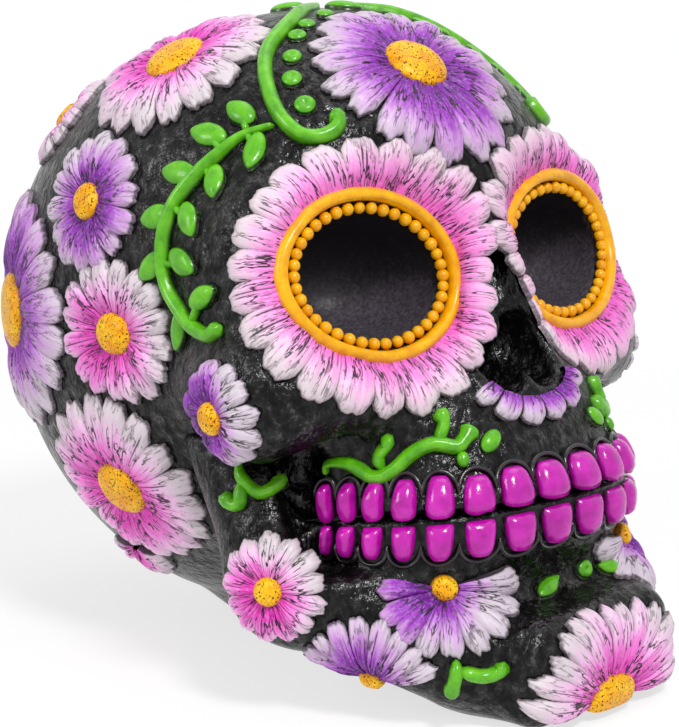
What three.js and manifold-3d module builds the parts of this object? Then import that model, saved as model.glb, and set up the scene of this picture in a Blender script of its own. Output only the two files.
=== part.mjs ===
// Sugar skull: a hollow cast skull with a separate lower jaw, dressed with raised flowers, vines,
// petal-ringed eye rims and two rows of teeth.
// Millimetres, +Z up. The face looks along -Y, +X is the skull's own left and z = 0 is the table.
import * as THREE from "three";
import { mergeGeometries, mergeVertices } from "three/addons/utils/BufferGeometryUtils.js";
import Module from "manifold-3d";

const wasm = await Module();
wasm.setup();

// Braincase: an egg, tipped so that its back hangs lower than the brow.
const BRAIN_HALF_WIDTH = 58;
const BRAIN_HALF_LENGTH = 66;
const BRAIN_HALF_HEIGHT = 58.5;
const BRAIN_BEHIND = 15;
const BRAIN_LEVEL = 82;
const BRAIN_TILT = 24;
const BRAIN_SQUARENESS = 2.6;

// Occiput, the lower back bulge.
const OCCIPUT_HALF_WIDTH = 47;
const OCCIPUT_HALF_LENGTH = 54;
const OCCIPUT_HALF_HEIGHT = 53.5;
const OCCIPUT_BEHIND = 27;
const OCCIPUT_LEVEL = 58;
const OCCIPUT_FILLET = 16;

// Foot under the occiput, cut flat by the table.
const FOOT_HALF_WIDTH = 12;
const FOOT_HALF_LENGTH = 13;
const FOOT_HALF_HEIGHT = 9.5;
const FOOT_BEHIND = 24;
const FOOT_LEVEL = 8;
const FOOT_FILLET = 8;

// Frontal bulge behind the brow.
const FRONTAL_HALF_WIDTH = 43;
const FRONTAL_HALF_LENGTH = 43;
const FRONTAL_HALF_HEIGHT = 40;
const FRONTAL_BEHIND = 1;
const FRONTAL_LEVEL = 103;
const FRONTAL_FILLET = 10;

// Eyes: the place of each rim's middle, how it is turned, and the block of bone behind it.
const EYE_OUT = 30;
const EYE_FORWARD = 38.5;
const EYE_LEVEL = 91;
const EYE_YAW = 5;
const EYE_PITCH = 16;
const EYE_ROLL = -5;
const ORBIT_HALF_WIDTH = 28;
const ORBIT_HALF_HEIGHT = 20.5;
const ORBIT_DEPTH = 28;
const ORBIT_ROUNDING = 10;
const ORBIT_FILLET = 10;
const FLAT_MARGIN = 6;
const FLAT_FLARE = 0.9;
const FLAT_LEVEL = 0.5;
const FLAT_FLOOR_FILLET = 8;
const FLAT_EDGE_FILLET = 5;
const SOCKET_HALF_WIDTH = 19;
const SOCKET_HALF_HEIGHT = 14;
const SOCKET_DEPTH = 26;
const SOCKET_LIP = 2;
const RIM_BAND = 4.2;
const RIM_HEIGHT = 1.9;
const BEADS = 22;
const EYE_PETALS = 24;
const EYE_PETAL_LENGTH = 9.2;
const NASAL_SHORTENING = 0.2;
const LOWER_LENGTHENING = 0.1;

// Nose: the bridge, the heart-shaped cavity and the petals under it.
const BRIDGE_HALF_WIDTH = 9;
const BRIDGE_HALF_DEPTH = 19;
const BRIDGE_HALF_HEIGHT = 22;
const BRIDGE_FRONT = 44;
const BRIDGE_LEVEL = 91;
const BRIDGE_FILLET = 8;
const NOSE_HALF_WIDTH = 12;
const NOSE_FORWARD = 57;
const NOSE_HALF_DEPTH = 18;
const NOSE_LOBE_LEVEL = 74;
const NOSE_LOBE_HALF_HEIGHT = 8;
const NOSE_LOBE_SHARE = 0.55;
const NOSE_TOP = 92;
const NOSE_SLOT_RISE = 5;
const NOSE_SLOT_OUT = 3;
const NOSE_SLOT_RADIUS = 7;
const NOSE_TIP_BACK = 14;
const NOSE_TIP_RADIUS = 4;
const NOSE_PETALS = 6;
const NOSE_PETAL_LENGTH = 6;
const NOSE_PETAL_DROP = 2;
const NOSE_PETAL_FAN = 150;

// Cheekbone and its arch, as tapered bars: each end is given as out, forward, up.
const CHEEK_FRONT = [38, 41, 69];
const CHEEK_CORNER = [52, 30, 66];
const CHEEK_BACK = [52, 14, 68];
const CHEEK_FRONT_RADIUS = 8;
const CHEEK_CORNER_RADIUS = 8.5;
const CHEEK_BACK_RADIUS = 4;
const CHEEK_FILLET = 12;

// Dental arch, shared by both jaws, and the plane in which the teeth meet.
const ARCH_HALF_WIDTH = 38.5;
const ARCH_FRONT = 69;
const ARCH_CORNER = 30;
const ARCH_BACK = 6;
const ARCH_BACK_FILLET = 8;
const ARCH_SQUARENESS = 2.7;
const BITE_LEVEL = 46;
const BITE_SLOPE = 0.13;
const TEETH_PER_SIDE = 8;
const FRONT_TOOTH_WIDTH = 10.8;
const TOOTH_NARROWING = 0.86;
const UPPER_TOOTH_LENGTH = 8.5;
const LOWER_TOOTH_LENGTH = 8;
const TOOTH_RELIEF = 1.9;
const TOOTH_SHOULDER = 0.2;
const BACK_TOOTH_SHORTENING = 0.25;
const BITE_CLEARANCE = 1.6;

// Upper jaw above the bite.
const UPPER_JAW_HEIGHT = 38;
const UPPER_JAW_TAPER = 0.55;
const UPPER_JAW_FILLET = 16;

// Lower jaw: chin block, bars along the body and up the ramus, and the wall that holds the teeth.
const CHIN_HALF_WIDTH = 24;
const CHIN_FRONT = 80;
const CHIN_HALF_DEPTH = 14.5;
const CHIN_TOP = 23.4;
const CHIN_ROUNDING = 7.5;
const JAW_FRONT = [24, 58, 14.5];
const JAW_ANGLE = [42, 29, 28];
const JAW_HINGE = [47, 10, 60];
const JAW_FRONT_RADIUS = 11.5;
const JAW_ANGLE_RADIUS = 12.7;
const JAW_HINGE_RADIUS = 8;
const JAW_FILLET = 8;
const LOWER_GUM_DEPTH = 8;
const LOWER_JAW_FLOOR = 14;
const LOWER_JAW_TAPER = 0.5;
const LOWER_JAW_FILLET = 10;

// Hollow of the casting and the hole under the skull that opens it.
const HOLLOW_HALF_WIDTH = 44;
const HOLLOW_HALF_LENGTH = 38;
const HOLLOW_HALF_HEIGHT = 42;
const HOLLOW_BEHIND = 26;
const HOLLOW_LEVEL = 76;
const HOLLOW_FILLET = 6;
const CASTING_WALL = 13;
const FORAMEN_RADIUS = 9;
const FORAMEN_BEHIND = 1;
const SHARP_FILLET = 2;
const GUM_FILLET = 3;

// Relief: heights above the bare skull, and the hair gap between a casting and what sits on it.
const SEAT_GAP = 0.7;
const SEAM_GAP = 0.8;
const PETAL_RELIEF = 1.7;
const PETAL_ROOT = 0.7;
const FLOWER_DOME = 2.5;
const EDGE_RELIEF = 0.6;
const NOTCH = 0.4;
const PETAL_WAIST = 0.84;
const DOME_SHARE = 0.3;
const STEM_RELIEF = 1.5;
const LEAF_RELIEF = 1.3;

// Spacing of the net that the castings are meshed on, the room left round them, and the hair by
// which a corner of the net stays inside its cell.
const FACE_NET = 5.8;
const BACK_NET = 10;
const NET_ROOM = 8;
const CELL_INSET = 0.01;

const PINK = 0xe88fd0;
const PURPLE = 0xa75fc8;
const CHARCOAL = 0x3a3a3d;
const LEAF_GREEN = 0x5fae2c;
const RIM_YELLOW = 0xe0a01e;
const TOOTH_MAGENTA = 0xb436a6;

// Single flowers on the middle line: a point near the middle as x, y, z, the radius, the petal count
// and the colour. rings sets how finely petals follow a tight bend. fan is the part of a turn that is
// there, round fanAim in degrees from straight up.
const MIDDLE_FLOWERS = [
  { name: "forehead_flower", at: [-4, -29, 134], radius: 22, petals: 12, colour: PURPLE },
  { name: "chin_flower", at: [0, -80, 2.5], radius: 20, petals: 9, colour: PINK, rings: 4, fan: 0.5 },
  { name: "back_flower", at: [0, 78, 66], radius: 20, petals: 12, colour: PINK },
];

// Flowers that come in pairs, given for the skull's right side.
const SIDE_FLOWERS = [
  { name: "crown_flower", at: [-37, 13, 134], radius: 21, petals: 11, colour: PINK },
  { name: "rear_crown_flower", at: [-37, 49, 119], radius: 13, petals: 10, colour: PINK },
  { name: "temple_flower", at: [-56, 20, 104], radius: 14, petals: 10, colour: PURPLE },
  { name: "side_flower", at: [-58, 9, 77], radius: 14.4, petals: 10, colour: PINK },
  { name: "rear_flower", at: [-50, 56, 76], radius: 26, petals: 13, colour: PURPLE, rings: 3 },
  { name: "ear_flower", at: [-50, 17, 41], radius: 22.5, petals: 12, colour: PINK, rings: 3 },
  { name: "cheek_flower", at: [-63, -28, 65], radius: 10.5, petals: 8, colour: PURPLE },
  { name: "jaw_angle_flower", at: [-55, -35, 29], radius: 11.5, petals: 9, colour: PINK },
  {
    name: "nape_flower", at: [-34, 30, 24], radius: 11, petals: 6, colour: PINK,
    rings: 3, fan: 0.5, fanAim: 180,
  },
  { name: "jaw_flower", at: [-38, -48, 9], radius: 13.5, petals: 7, colour: PURPLE, rings: 3, fan: 0.5 },
  {
    name: "chin_side_flower", at: [-29, -59, 29], radius: 13.5, petals: 7, colour: PURPLE,
    rings: 4, fan: 0.5, fanAim: 180,
  },
];

// Vines, given for the skull's right side: points along each stem, and the leaves that leave it, as
// shares of its length and the side they leave it on. A leaf's outline is its width at shares of its
// length.
const STEM_STEP = 4.4;
const STEM_TIP = 0.5;
const STEM_EDGE = 0.7;
const LEAF_LENGTH = 7;
const LEAF_WIDTH = 4.6;
const LEAF_OUTLINE = [[0.4, 1], [0.75, 0.75]];
const LEAF_ANGLE = 53;
const VINES = [
  {
    name: "temple_vine",
    width: 2.6,
    points: [[-43, -19, 121], [-49, -13, 115], [-54, -7, 105], [-56, -6, 93], [-56, -13, 83], [-55, -22, 80]],
    leaves: [[0.1, -1], [0.2, 1], [0.32, -1], [0.42, 1], [0.62, 1], [0.84, 1]],
  },
  {
    name: "brow_scroll",
    width: 3.2,
    points: [
      [-9, 0, 144], [-28, -8, 137], [-37, -16, 129], [-38, -26, 120], [-33, -30, 120], [-31, -28, 124],
    ],
    leaves: [],
  },
  {
    name: "maxilla_scroll",
    width: 2.6,
    points: [[-34, -43, 54], [-33, -49, 54], [-27, -54, 58], [-24, -57, 57], [-19, -59, 61]],
    leaves: [[0.35, 1], [0.65, 1]],
  },
];

const degrees = (angle) => (angle * Math.PI) / 180;

// Distance helpers: each gives about how far a point lies outside a shape, less than nothing inside it.
function superellipsoid(x, y, z, a, b, c, n) {
  const u = Math.abs(x) / a;
  const v = Math.abs(y) / b;
  const w = Math.abs(z) / c;
  const k = Math.max((u ** n + v ** n + w ** n) ** (1 / n), 1e-6);
  const slope = k ** (1 - n) * Math.hypot(u ** (n - 1) / a, v ** (n - 1) / b, w ** (n - 1) / c);
  return (k - 1) / Math.max(slope, 1e-6);
}

const ellipsoid = (x, y, z, a, b, c) => superellipsoid(x, y, z, a, b, c, 2);

function roundedBox(x, y, z, a, b, c, r) {
  const p = Math.abs(x) - a + r;
  const q = Math.abs(y) - b + r;
  const s = Math.abs(z) - c + r;
  const outside = Math.hypot(Math.max(p, 0), Math.max(q, 0), Math.max(s, 0));
  return outside + Math.min(Math.max(p, q, s), 0) - r;
}

// A bar from one end to the other, with a radius at each.
function taperedBar(x, y, z, from, to, fromRadius, toRadius) {
  const d = [to[0] - from[0], to[1] - from[1], to[2] - from[2]];
  const p = [x - from[0], y - from[1], z - from[2]];
  const along = (p[0] * d[0] + p[1] * d[1] + p[2] * d[2]) / (d[0] ** 2 + d[1] ** 2 + d[2] ** 2);
  const t = Math.min(1, Math.max(0, along));
  const away = Math.hypot(p[0] - t * d[0], p[1] - t * d[1], p[2] - t * d[2]);
  return away - (fromRadius + (toRadius - fromRadius) * t);
}

// An egg that is an ellipse in side view and squarer across.
function squareEgg(x, y, z, a, b, c, n) {
  const rho = Math.max(Math.hypot(y / b, z / c), 1e-6);
  const u = x / a;
  const k = Math.max((rho ** n + u ** n) ** (1 / n), 1e-6);
  const rim = k ** (1 - n) * rho ** (n - 2);
  const across = (k ** (1 - n) * u ** (n - 1)) / a;
  const slope = Math.hypot(across, (rim * y) / (b * b), (rim * z) / (c * c));
  return (k - 1) / Math.max(slope, 1e-6);
}

// Union and cut with a fillet of about the given size.
function join(a, b, fillet) {
  const h = Math.max(fillet - Math.abs(a - b), 0) / fillet;
  return Math.min(a, b) - (h * h * fillet) / 4;
}

const keep = (a, b, fillet) => -join(-a, -b, fillet);

// The eye's own frame: across, out of the face, and up.
const eyeNormal = new THREE.Vector3(
  Math.sin(degrees(EYE_YAW)) * Math.cos(degrees(EYE_PITCH)),
  Math.cos(degrees(EYE_YAW)) * Math.cos(degrees(EYE_PITCH)),
  Math.sin(degrees(EYE_PITCH)),
);
const eyeAcross = new THREE.Vector3(Math.cos(degrees(EYE_YAW)), -Math.sin(degrees(EYE_YAW)), 0);
eyeAcross.applyAxisAngle(eyeNormal, degrees(EYE_ROLL));
const eyeUp = new THREE.Vector3().crossVectors(eyeAcross, eyeNormal);

function inEyeFrame(s, f, z) {
  const p = new THREE.Vector3(s - EYE_OUT, f - EYE_FORWARD, z - EYE_LEVEL);
  return [p.dot(eyeAcross), p.dot(eyeNormal), p.dot(eyeUp)];
}

// Level of the bite at a place along the head, and the plan of the dental arch.
const biteLevel = (f) => BITE_LEVEL - BITE_SLOPE * (ARCH_FRONT - f);

function dentalArch(s, f) {
  const ahead = Math.max(f - ARCH_CORNER, 0);
  const front = superellipsoid(s, ahead, 0, ARCH_HALF_WIDTH, ARCH_FRONT - ARCH_CORNER, 1, ARCH_SQUARENESS);
  return keep(front, ARCH_BACK - f, ARCH_BACK_FILLET);
}

// Bare skull without its sockets: s is the distance from the middle, f the distance forward.
function craniumForm(s, f, z) {
  const tilt = degrees(BRAIN_TILT);
  const bf = f + BRAIN_BEHIND;
  const bz = z - BRAIN_LEVEL;
  const along = bf * Math.cos(tilt) + bz * Math.sin(tilt);
  const above = bz * Math.cos(tilt) - bf * Math.sin(tilt);
  const braincase = squareEgg(
    s, along, above,
    BRAIN_HALF_WIDTH, BRAIN_HALF_LENGTH, BRAIN_HALF_HEIGHT, BRAIN_SQUARENESS,
  );
  const occiput = ellipsoid(
    s, f + OCCIPUT_BEHIND, z - OCCIPUT_LEVEL,
    OCCIPUT_HALF_WIDTH, OCCIPUT_HALF_LENGTH, OCCIPUT_HALF_HEIGHT,
  );
  const foot = ellipsoid(
    s, f + FOOT_BEHIND, z - FOOT_LEVEL,
    FOOT_HALF_WIDTH, FOOT_HALF_LENGTH, FOOT_HALF_HEIGHT,
  );
  const frontal = ellipsoid(
    s, f + FRONTAL_BEHIND, z - FRONTAL_LEVEL,
    FRONTAL_HALF_WIDTH, FRONTAL_HALF_LENGTH, FRONTAL_HALF_HEIGHT,
  );
  const [across, out, up] = inEyeFrame(s, f, z);
  const orbit = roundedBox(
    across, out + ORBIT_DEPTH / 2, up,
    ORBIT_HALF_WIDTH, ORBIT_DEPTH / 2, ORBIT_HALF_HEIGHT, ORBIT_ROUNDING,
  );
  const bridge = ellipsoid(
    s, f - BRIDGE_FRONT + BRIDGE_HALF_DEPTH, z - BRIDGE_LEVEL,
    BRIDGE_HALF_WIDTH, BRIDGE_HALF_DEPTH, BRIDGE_HALF_HEIGHT,
  );
  const cheekbone = taperedBar(s, f, z, CHEEK_FRONT, CHEEK_CORNER, CHEEK_FRONT_RADIUS, CHEEK_CORNER_RADIUS);
  const cheekArch = taperedBar(s, f, z, CHEEK_CORNER, CHEEK_BACK, CHEEK_CORNER_RADIUS, CHEEK_BACK_RADIUS);
  const wall = dentalArch(s, f) + Math.max(0, z - BITE_LEVEL) * UPPER_JAW_TAPER;
  const aboveBite = keep(wall, biteLevel(f) - z, GUM_FILLET);
  const upperJaw = keep(aboveBite, z - BITE_LEVEL - UPPER_JAW_HEIGHT, GUM_FILLET);
  let d = join(braincase, occiput, OCCIPUT_FILLET);
  d = join(d, foot, FOOT_FILLET);
  d = join(d, frontal, FRONTAL_FILLET);
  d = join(d, orbit, ORBIT_FILLET);
  d = join(d, bridge, BRIDGE_FILLET);
  d = join(d, cheekbone, CHEEK_FILLET);
  d = join(d, cheekArch, CHEEK_FILLET);
  d = join(d, upperJaw, UPPER_JAW_FILLET);
  return keep(d, -eyeFlat(across, out, up), FLAT_EDGE_FILLET);
}

// What is cut away in front of each eye, down to the flat that its rim lies on.
function eyeFlat(across, out, up) {
  const edge = ellipsoid(across, 0, up, SOCKET_HALF_WIDTH + FLAT_MARGIN, 1, SOCKET_HALF_HEIGHT + FLAT_MARGIN);
  const wall = (edge - FLAT_FLARE * out) / Math.hypot(1, FLAT_FLARE);
  return keep(wall, FLAT_LEVEL - out, FLAT_FLOOR_FILLET);
}

function jawForm(s, f, z) {
  const chin = roundedBox(
    s, f - CHIN_FRONT + CHIN_HALF_DEPTH, z - CHIN_TOP / 2,
    CHIN_HALF_WIDTH, CHIN_HALF_DEPTH, CHIN_TOP / 2, CHIN_ROUNDING,
  );
  const body = taperedBar(s, f, z, JAW_FRONT, JAW_ANGLE, JAW_FRONT_RADIUS, JAW_ANGLE_RADIUS);
  const ramus = taperedBar(s, f, z, JAW_ANGLE, JAW_HINGE, JAW_ANGLE_RADIUS, JAW_HINGE_RADIUS);
  const wall = dentalArch(s, f) + Math.max(0, BITE_LEVEL - LOWER_GUM_DEPTH - z) * LOWER_JAW_TAPER;
  const belowBite = keep(wall, z - biteLevel(f), GUM_FILLET);
  const gum = keep(belowBite, LOWER_JAW_FLOOR - z, GUM_FILLET);
  let d = join(chin, body, JAW_FILLET);
  d = join(d, ramus, JAW_FILLET);
  return join(d, gum, LOWER_JAW_FILLET);
}

function socketForm(s, f, z) {
  const [across, out, up] = inEyeFrame(s, f, z);
  return ellipsoid(
    across, out - SOCKET_LIP, up,
    SOCKET_HALF_WIDTH, SOCKET_DEPTH + SOCKET_LIP, SOCKET_HALF_HEIGHT,
  );
}

// Heart-shaped cavity: a lobe to each side of the middle and a slot that narrows upwards.
function noseForm(s, f, z) {
  const lobe = NOSE_HALF_WIDTH * NOSE_LOBE_SHARE;
  const lobes = ellipsoid(
    s + NOSE_HALF_WIDTH * (NOSE_LOBE_SHARE - 1), f - NOSE_FORWARD, z - NOSE_LOBE_LEVEL,
    lobe, NOSE_HALF_DEPTH, NOSE_LOBE_HALF_HEIGHT,
  );
  const low = [NOSE_SLOT_OUT, NOSE_FORWARD, NOSE_LOBE_LEVEL + NOSE_SLOT_RISE];
  const tip = [0, NOSE_FORWARD - NOSE_TIP_BACK, NOSE_TOP];
  const slot = taperedBar(s, f, z, low, tip, NOSE_SLOT_RADIUS, NOSE_TIP_RADIUS);
  return join(lobes, slot, GUM_FILLET);
}

// Inside of the casting: two bulges and the foramen that opens them downwards.
function hollowForm(s, f, z) {
  const upper = ellipsoid(
    s, f + HOLLOW_BEHIND, z - HOLLOW_LEVEL,
    HOLLOW_HALF_WIDTH, HOLLOW_HALF_LENGTH, HOLLOW_HALF_HEIGHT,
  );
  const lower = ellipsoid(
    s, f + HOLLOW_BEHIND, z - OCCIPUT_LEVEL,
    OCCIPUT_HALF_WIDTH - CASTING_WALL,
    OCCIPUT_HALF_LENGTH - CASTING_WALL,
    OCCIPUT_HALF_HEIGHT - CASTING_WALL,
  );
  const foramen = Math.max(Math.hypot(s, f + FORAMEN_BEHIND) - FORAMEN_RADIUS, z - OCCIPUT_LEVEL);
  return Math.min(join(upper, lower, HOLLOW_FILLET), foramen);
}

// The castings as fields over x, y, z, and the bare skin that the relief is draped on.
function craniumOutside(x, y, z) {
  const s = Math.abs(x);
  const opened = keep(craniumForm(s, -y, z), -socketForm(s, -y, z), SHARP_FILLET);
  return keep(opened, -noseForm(s, -y, z), SHARP_FILLET);
}

const craniumSkin = (x, y, z) => craniumForm(Math.abs(x), -y, z);
const jawSkin = (x, y, z) => jawForm(Math.abs(x), -y, z);
const skin = (x, y, z) => Math.min(craniumSkin(x, y, z), jawSkin(x, y, z));
const craniumField = (x, y, z) => Math.max(craniumOutside(x, y, z), -hollowForm(Math.abs(x), -y, z), -z);
const jawField = (x, y, z) => Math.max(jawSkin(x, y, z), SEAM_GAP - craniumOutside(x, y, z), -z);

function slopeOf(field, p) {
  const h = 0.05;
  return new THREE.Vector3(
    field(p.x + h, p.y, p.z) - field(p.x - h, p.y, p.z),
    field(p.x, p.y + h, p.z) - field(p.x, p.y - h, p.z),
    field(p.x, p.y, p.z + h) - field(p.x, p.y, p.z - h),
  ).divideScalar(2 * h);
}

// Moves a point along the slope of a field until the field has the given value there.
function settle(field, point, value, turns = 6) {
  const p = point.clone();
  for (let turn = 0; turn < turns; turn += 1) {
    const slope = slopeOf(field, p);
    const step = (field(p.x, p.y, p.z) - value) / Math.max(slope.lengthSq(), 0.05);
    p.addScaledVector(slope, -step);
  }
  return p;
}

const normalAt = (p) => slopeOf(skin, p).normalize();

// Drops a point from outside straight along a direction until it meets the skin.
function drop(point, direction) {
  const p = point.clone();
  for (let turn = 0; turn < 40; turn += 1) {
    p.addScaledVector(direction, 0.9 * skin(p.x, p.y, p.z));
  }
  return p;
}

// The twelve edges of a net's cell are numbered by their axis and by the side of the cell they lie on.
const edgeNumber = (axis, side, otherSide) => axis * 4 + side + 2 * otherSide;

// The four edges round each face of a cell, in order, and the cell's corner before the first of them.
const CELL_FACES = [0, 1, 2].flatMap((axis) => [0, 1].map((side) => {
  const p = (axis + 1) % 3;
  const q = (axis + 2) % 3;
  const corner = [0, 0, 0];
  corner[axis] = side;
  return {
    edges: [edgeNumber(p, 0, side), edgeNumber(q, side, 1), edgeNumber(p, 1, side), edgeNumber(q, side, 0)],
    first: corner,
  };
}));

// Closed net over a field: a corner for each sheet of it in a cell and a face for each crossed edge.
function surfaceNet(field, xs, ys, zs) {
  const axes = [xs, ys, zs];
  const key = (i, j, k) => (k * ys.length + j) * xs.length + i;
  const values = new Float64Array(xs.length * ys.length * zs.length);
  zs.forEach((z, k) => ys.forEach((y, j) => xs.forEach((x, i) => {
    values[key(i, j, k)] = field(x, y, z);
  })));
  const corners = [];
  const sheetsOf = new Map();

  // Where each edge of a cell is crossed, or nothing where it isn't.
  const crossingsOf = (cell) => Array.from({ length: 12 }, (_, edge) => {
    const axis = edge >> 2;
    const low = [...cell];
    low[(axis + 1) % 3] += edge & 1;
    low[(axis + 2) % 3] += (edge >> 1) & 1;
    const high = [...low];
    high[axis] += 1;
    const a = values[key(...low)];
    const b = values[key(...high)];
    if (a < 0 === b < 0) return null;
    const place = low.map((n, m) => axes[m][n]);
    place[axis] += (a / (a - b)) * (axes[axis][high[axis]] - axes[axis][low[axis]]);
    return new THREE.Vector3(...place);
  });

  // The net's corner for each crossed edge of a cell: edges joined across the cell's faces share one.
  const sheetCorners = (cell) => {
    const id = key(...cell);
    if (sheetsOf.has(id)) return sheetsOf.get(id);
    const crossings = crossingsOf(cell);
    const sheet = crossings.map((_, edge) => edge);
    const link = (a, b) => {
      const from = sheet[a];
      const to = sheet[b];
      sheet.forEach((value, edge) => {
        if (value === from) sheet[edge] = to;
      });
    };
    CELL_FACES.forEach(({ edges, first }) => {
      const crossed = edges.filter((edge) => crossings[edge]);
      if (crossed.length === 2) link(...crossed);
      if (crossed.length < 4) return;
      const firstInside = values[key(...first.map((n, m) => n + cell[m]))] < 0;
      const [a, b, c, d] = edges;
      link(a, firstInside ? d : b);
      link(c, firstInside ? b : d);
    });
    const inset = (n, m, share) => axes[m][n] + share * (axes[m][n + 1] - axes[m][n]);
    const least = new THREE.Vector3(...cell.map((n, m) => inset(n, m, CELL_INSET)));
    const most = new THREE.Vector3(...cell.map((n, m) => inset(n, m, 1 - CELL_INSET)));
    const cornerOfSheet = new Map();
    const result = crossings.map((crossing, edge) => {
      if (!crossing) return -1;
      if (!cornerOfSheet.has(sheet[edge])) {
        const own = crossings.filter((place, other) => place && sheet[other] === sheet[edge]);
        const middle = new THREE.Vector3();
        own.forEach((place) => middle.addScaledVector(place, 1 / own.length));
        cornerOfSheet.set(sheet[edge], corners.length);
        corners.push(settle(field, middle, 0, 4).clamp(least, most));
      }
      return cornerOfSheet.get(sheet[edge]);
    });
    sheetsOf.set(id, result);
    return result;
  };

  const faces = [];
  const around = [[-1, -1], [0, -1], [0, 0], [-1, 0]];
  const addFace = (axis, point) => {
    const high = [...point];
    high[axis] += 1;
    const inside = values[key(...point)] < 0;
    if (inside === values[key(...high)] < 0) return;
    const ring = around.map(([n, m]) => {
      const cell = [...point];
      cell[(axis + 1) % 3] += n;
      cell[(axis + 2) % 3] += m;
      return sheetCorners(cell)[edgeNumber(axis, -n, -m)];
    });
    if (!inside) ring.reverse();
    const [a, b, c, d] = ring;
    const short = corners[a].distanceTo(corners[c]) < corners[b].distanceTo(corners[d]);
    faces.push(...(short ? [a, b, c, a, c, d] : [a, b, d, b, c, d]));
  };
  for (let k = 1; k < zs.length - 1; k += 1) {
    for (let j = 1; j < ys.length - 1; j += 1) {
      for (let i = 1; i < xs.length - 1; i += 1) {
        [0, 1, 2].forEach((axis) => addFace(axis, [i, j, k]));
      }
    }
  }
  return { corners, faces };
}

// Lines of a net: fine at first and coarse from a given place on.
function netLines(from, to, coarseFrom) {
  const lines = [from];
  while (lines.at(-1) < to) {
    const here = lines.at(-1);
    lines.push(here + (here < coarseFrom ? FACE_NET : BACK_NET));
  }
  return lines;
}

function mirroredLines(reach) {
  const half = netLines(0, reach, reach);
  return [...half.slice(1).reverse().map((x) => -x), ...half];
}

const toSolid = ({ corners, faces }) => new wasm.Manifold(new wasm.Mesh({
  numProp: 3,
  vertProperties: new Float32Array(corners.flatMap((p) => [p.x, p.y, p.z])),
  triVerts: new Uint32Array(faces),
}));

function solidOf(geometry) {
  geometry.deleteAttribute("normal");
  geometry.deleteAttribute("uv");
  const welded = mergeVertices(geometry, 1e-3);
  const position = welded.getAttribute("position");
  const cornerAt = (_, n) => new THREE.Vector3().fromBufferAttribute(position, n);
  const corners = Array.from({ length: position.count }, cornerAt);
  const index = welded.index.array;
  const faces = [];
  for (let n = 0; n < index.length; n += 3) {
    const [a, b, c] = index.slice(n, n + 3);
    if (a !== b && b !== c && c !== a) faces.push(a, b, c);
  }
  if (enclosed(corners, faces) < 0) faces.reverse();
  return toSolid({ corners, faces });
}

// Six times the volume inside a closed net, negative where its faces point inwards.
function enclosed(corners, faces) {
  let sum = 0;
  for (let n = 0; n < faces.length; n += 3) {
    const [a, b, c] = faces.slice(n, n + 3).map((m) => corners[m]);
    sum += a.dot(new THREE.Vector3().crossVectors(b, c));
  }
  return sum;
}

function geometryOf(solid) {
  const mesh = solid.getMesh();
  const geometry = new THREE.BufferGeometry();
  geometry.setAttribute("position", new THREE.BufferAttribute(mesh.vertProperties, 3));
  geometry.setIndex(new THREE.BufferAttribute(mesh.triVerts, 1));
  geometry.computeVertexNormals();
  return geometry;
}

// Largest body of a cut.
function mainBody(solid) {
  return solid.decompose().sort((a, b) => b.volume() - a.volume())[0];
}

const skull = new THREE.Group();

function addPiece(name, geometry, colour, roughness) {
  const mesh = new THREE.Mesh(geometry, new THREE.MeshStandardMaterial({ color: colour, roughness }));
  mesh.name = name;
  skull.add(mesh);
}

// Castings.
function addCastings() {
  const cheek = CHEEK_CORNER[0] + CHEEK_CORNER_RADIUS;
  const jaw = JAW_ANGLE[0] + JAW_ANGLE_RADIUS;
  const widest = Math.max(BRAIN_HALF_WIDTH, OCCIPUT_HALF_WIDTH, cheek, jaw);
  const back = Math.max(BRAIN_BEHIND + BRAIN_HALF_LENGTH, OCCIPUT_BEHIND + OCCIPUT_HALF_LENGTH);
  const across = mirroredLines(widest + 2 * NET_ROOM);
  const along = netLines(-CHIN_FRONT - NET_ROOM, back + 2 * NET_ROOM, 0);
  const top = BRAIN_LEVEL + BRAIN_HALF_LENGTH;
  const upright = netLines(-NET_ROOM, top + 2 * NET_ROOM, FRONTAL_LEVEL + NET_ROOM);
  const cast = (field) => geometryOf(mainBody(toSolid(surfaceNet(field, across, along, upright))));
  addPiece("cranium", cast(craniumField), CHARCOAL, 0.55);
  addPiece("lower_jaw", cast(jawField), CHARCOAL, 0.55);
}

// A slab over a grid of low and high points: columns[c][r]. Closed rings join the last column to the
// first, and columns that start at one shared point make a disc or a fan. isOpen says which of the walls
// round it are left out: those along the near and far rows, and the one at the start.
function slabNet(columns, closed, isOpen = () => false) {
  const rings = columns[0].length;
  const corners = columns.flatMap((column) => column.flatMap(({ low, high }) => [low, high]));
  const low = (c, r) => ((c % columns.length) * rings + r) * 2;
  const high = (c, r) => low(c, r) + 1;
  const index = [];
  const quad = (a, b, c, d) => index.push(a, b, c, a, c, d);
  const spans = closed ? columns.length : columns.length - 1;
  const far = rings - 1;
  for (let c = 0; c < spans; c += 1) {
    for (let r = 0; r < far; r += 1) {
      quad(high(c, r), high(c, r + 1), high(c + 1, r + 1), high(c + 1, r));
      quad(low(c, r), low(c + 1, r), low(c + 1, r + 1), low(c, r + 1));
    }
    if (!isOpen("near", c)) quad(low(c, 0), high(c, 0), high(c + 1, 0), low(c + 1, 0));
    if (!isOpen("far", c)) quad(low(c, far), low(c + 1, far), high(c + 1, far), high(c, far));
  }
  for (let r = 0; r < far && !closed; r += 1) {
    if (!isOpen("start", r)) quad(low(0, r), low(0, r + 1), high(0, r + 1), high(0, r));
    quad(low(spans, r), high(spans, r), high(spans, r + 1), low(spans, r + 1));
  }
  const geometry = new THREE.BufferGeometry().setFromPoints(corners);
  return geometry.setIndex(index);
}

const slab = (columns, closed) => solidOf(slabNet(columns, closed));

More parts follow.
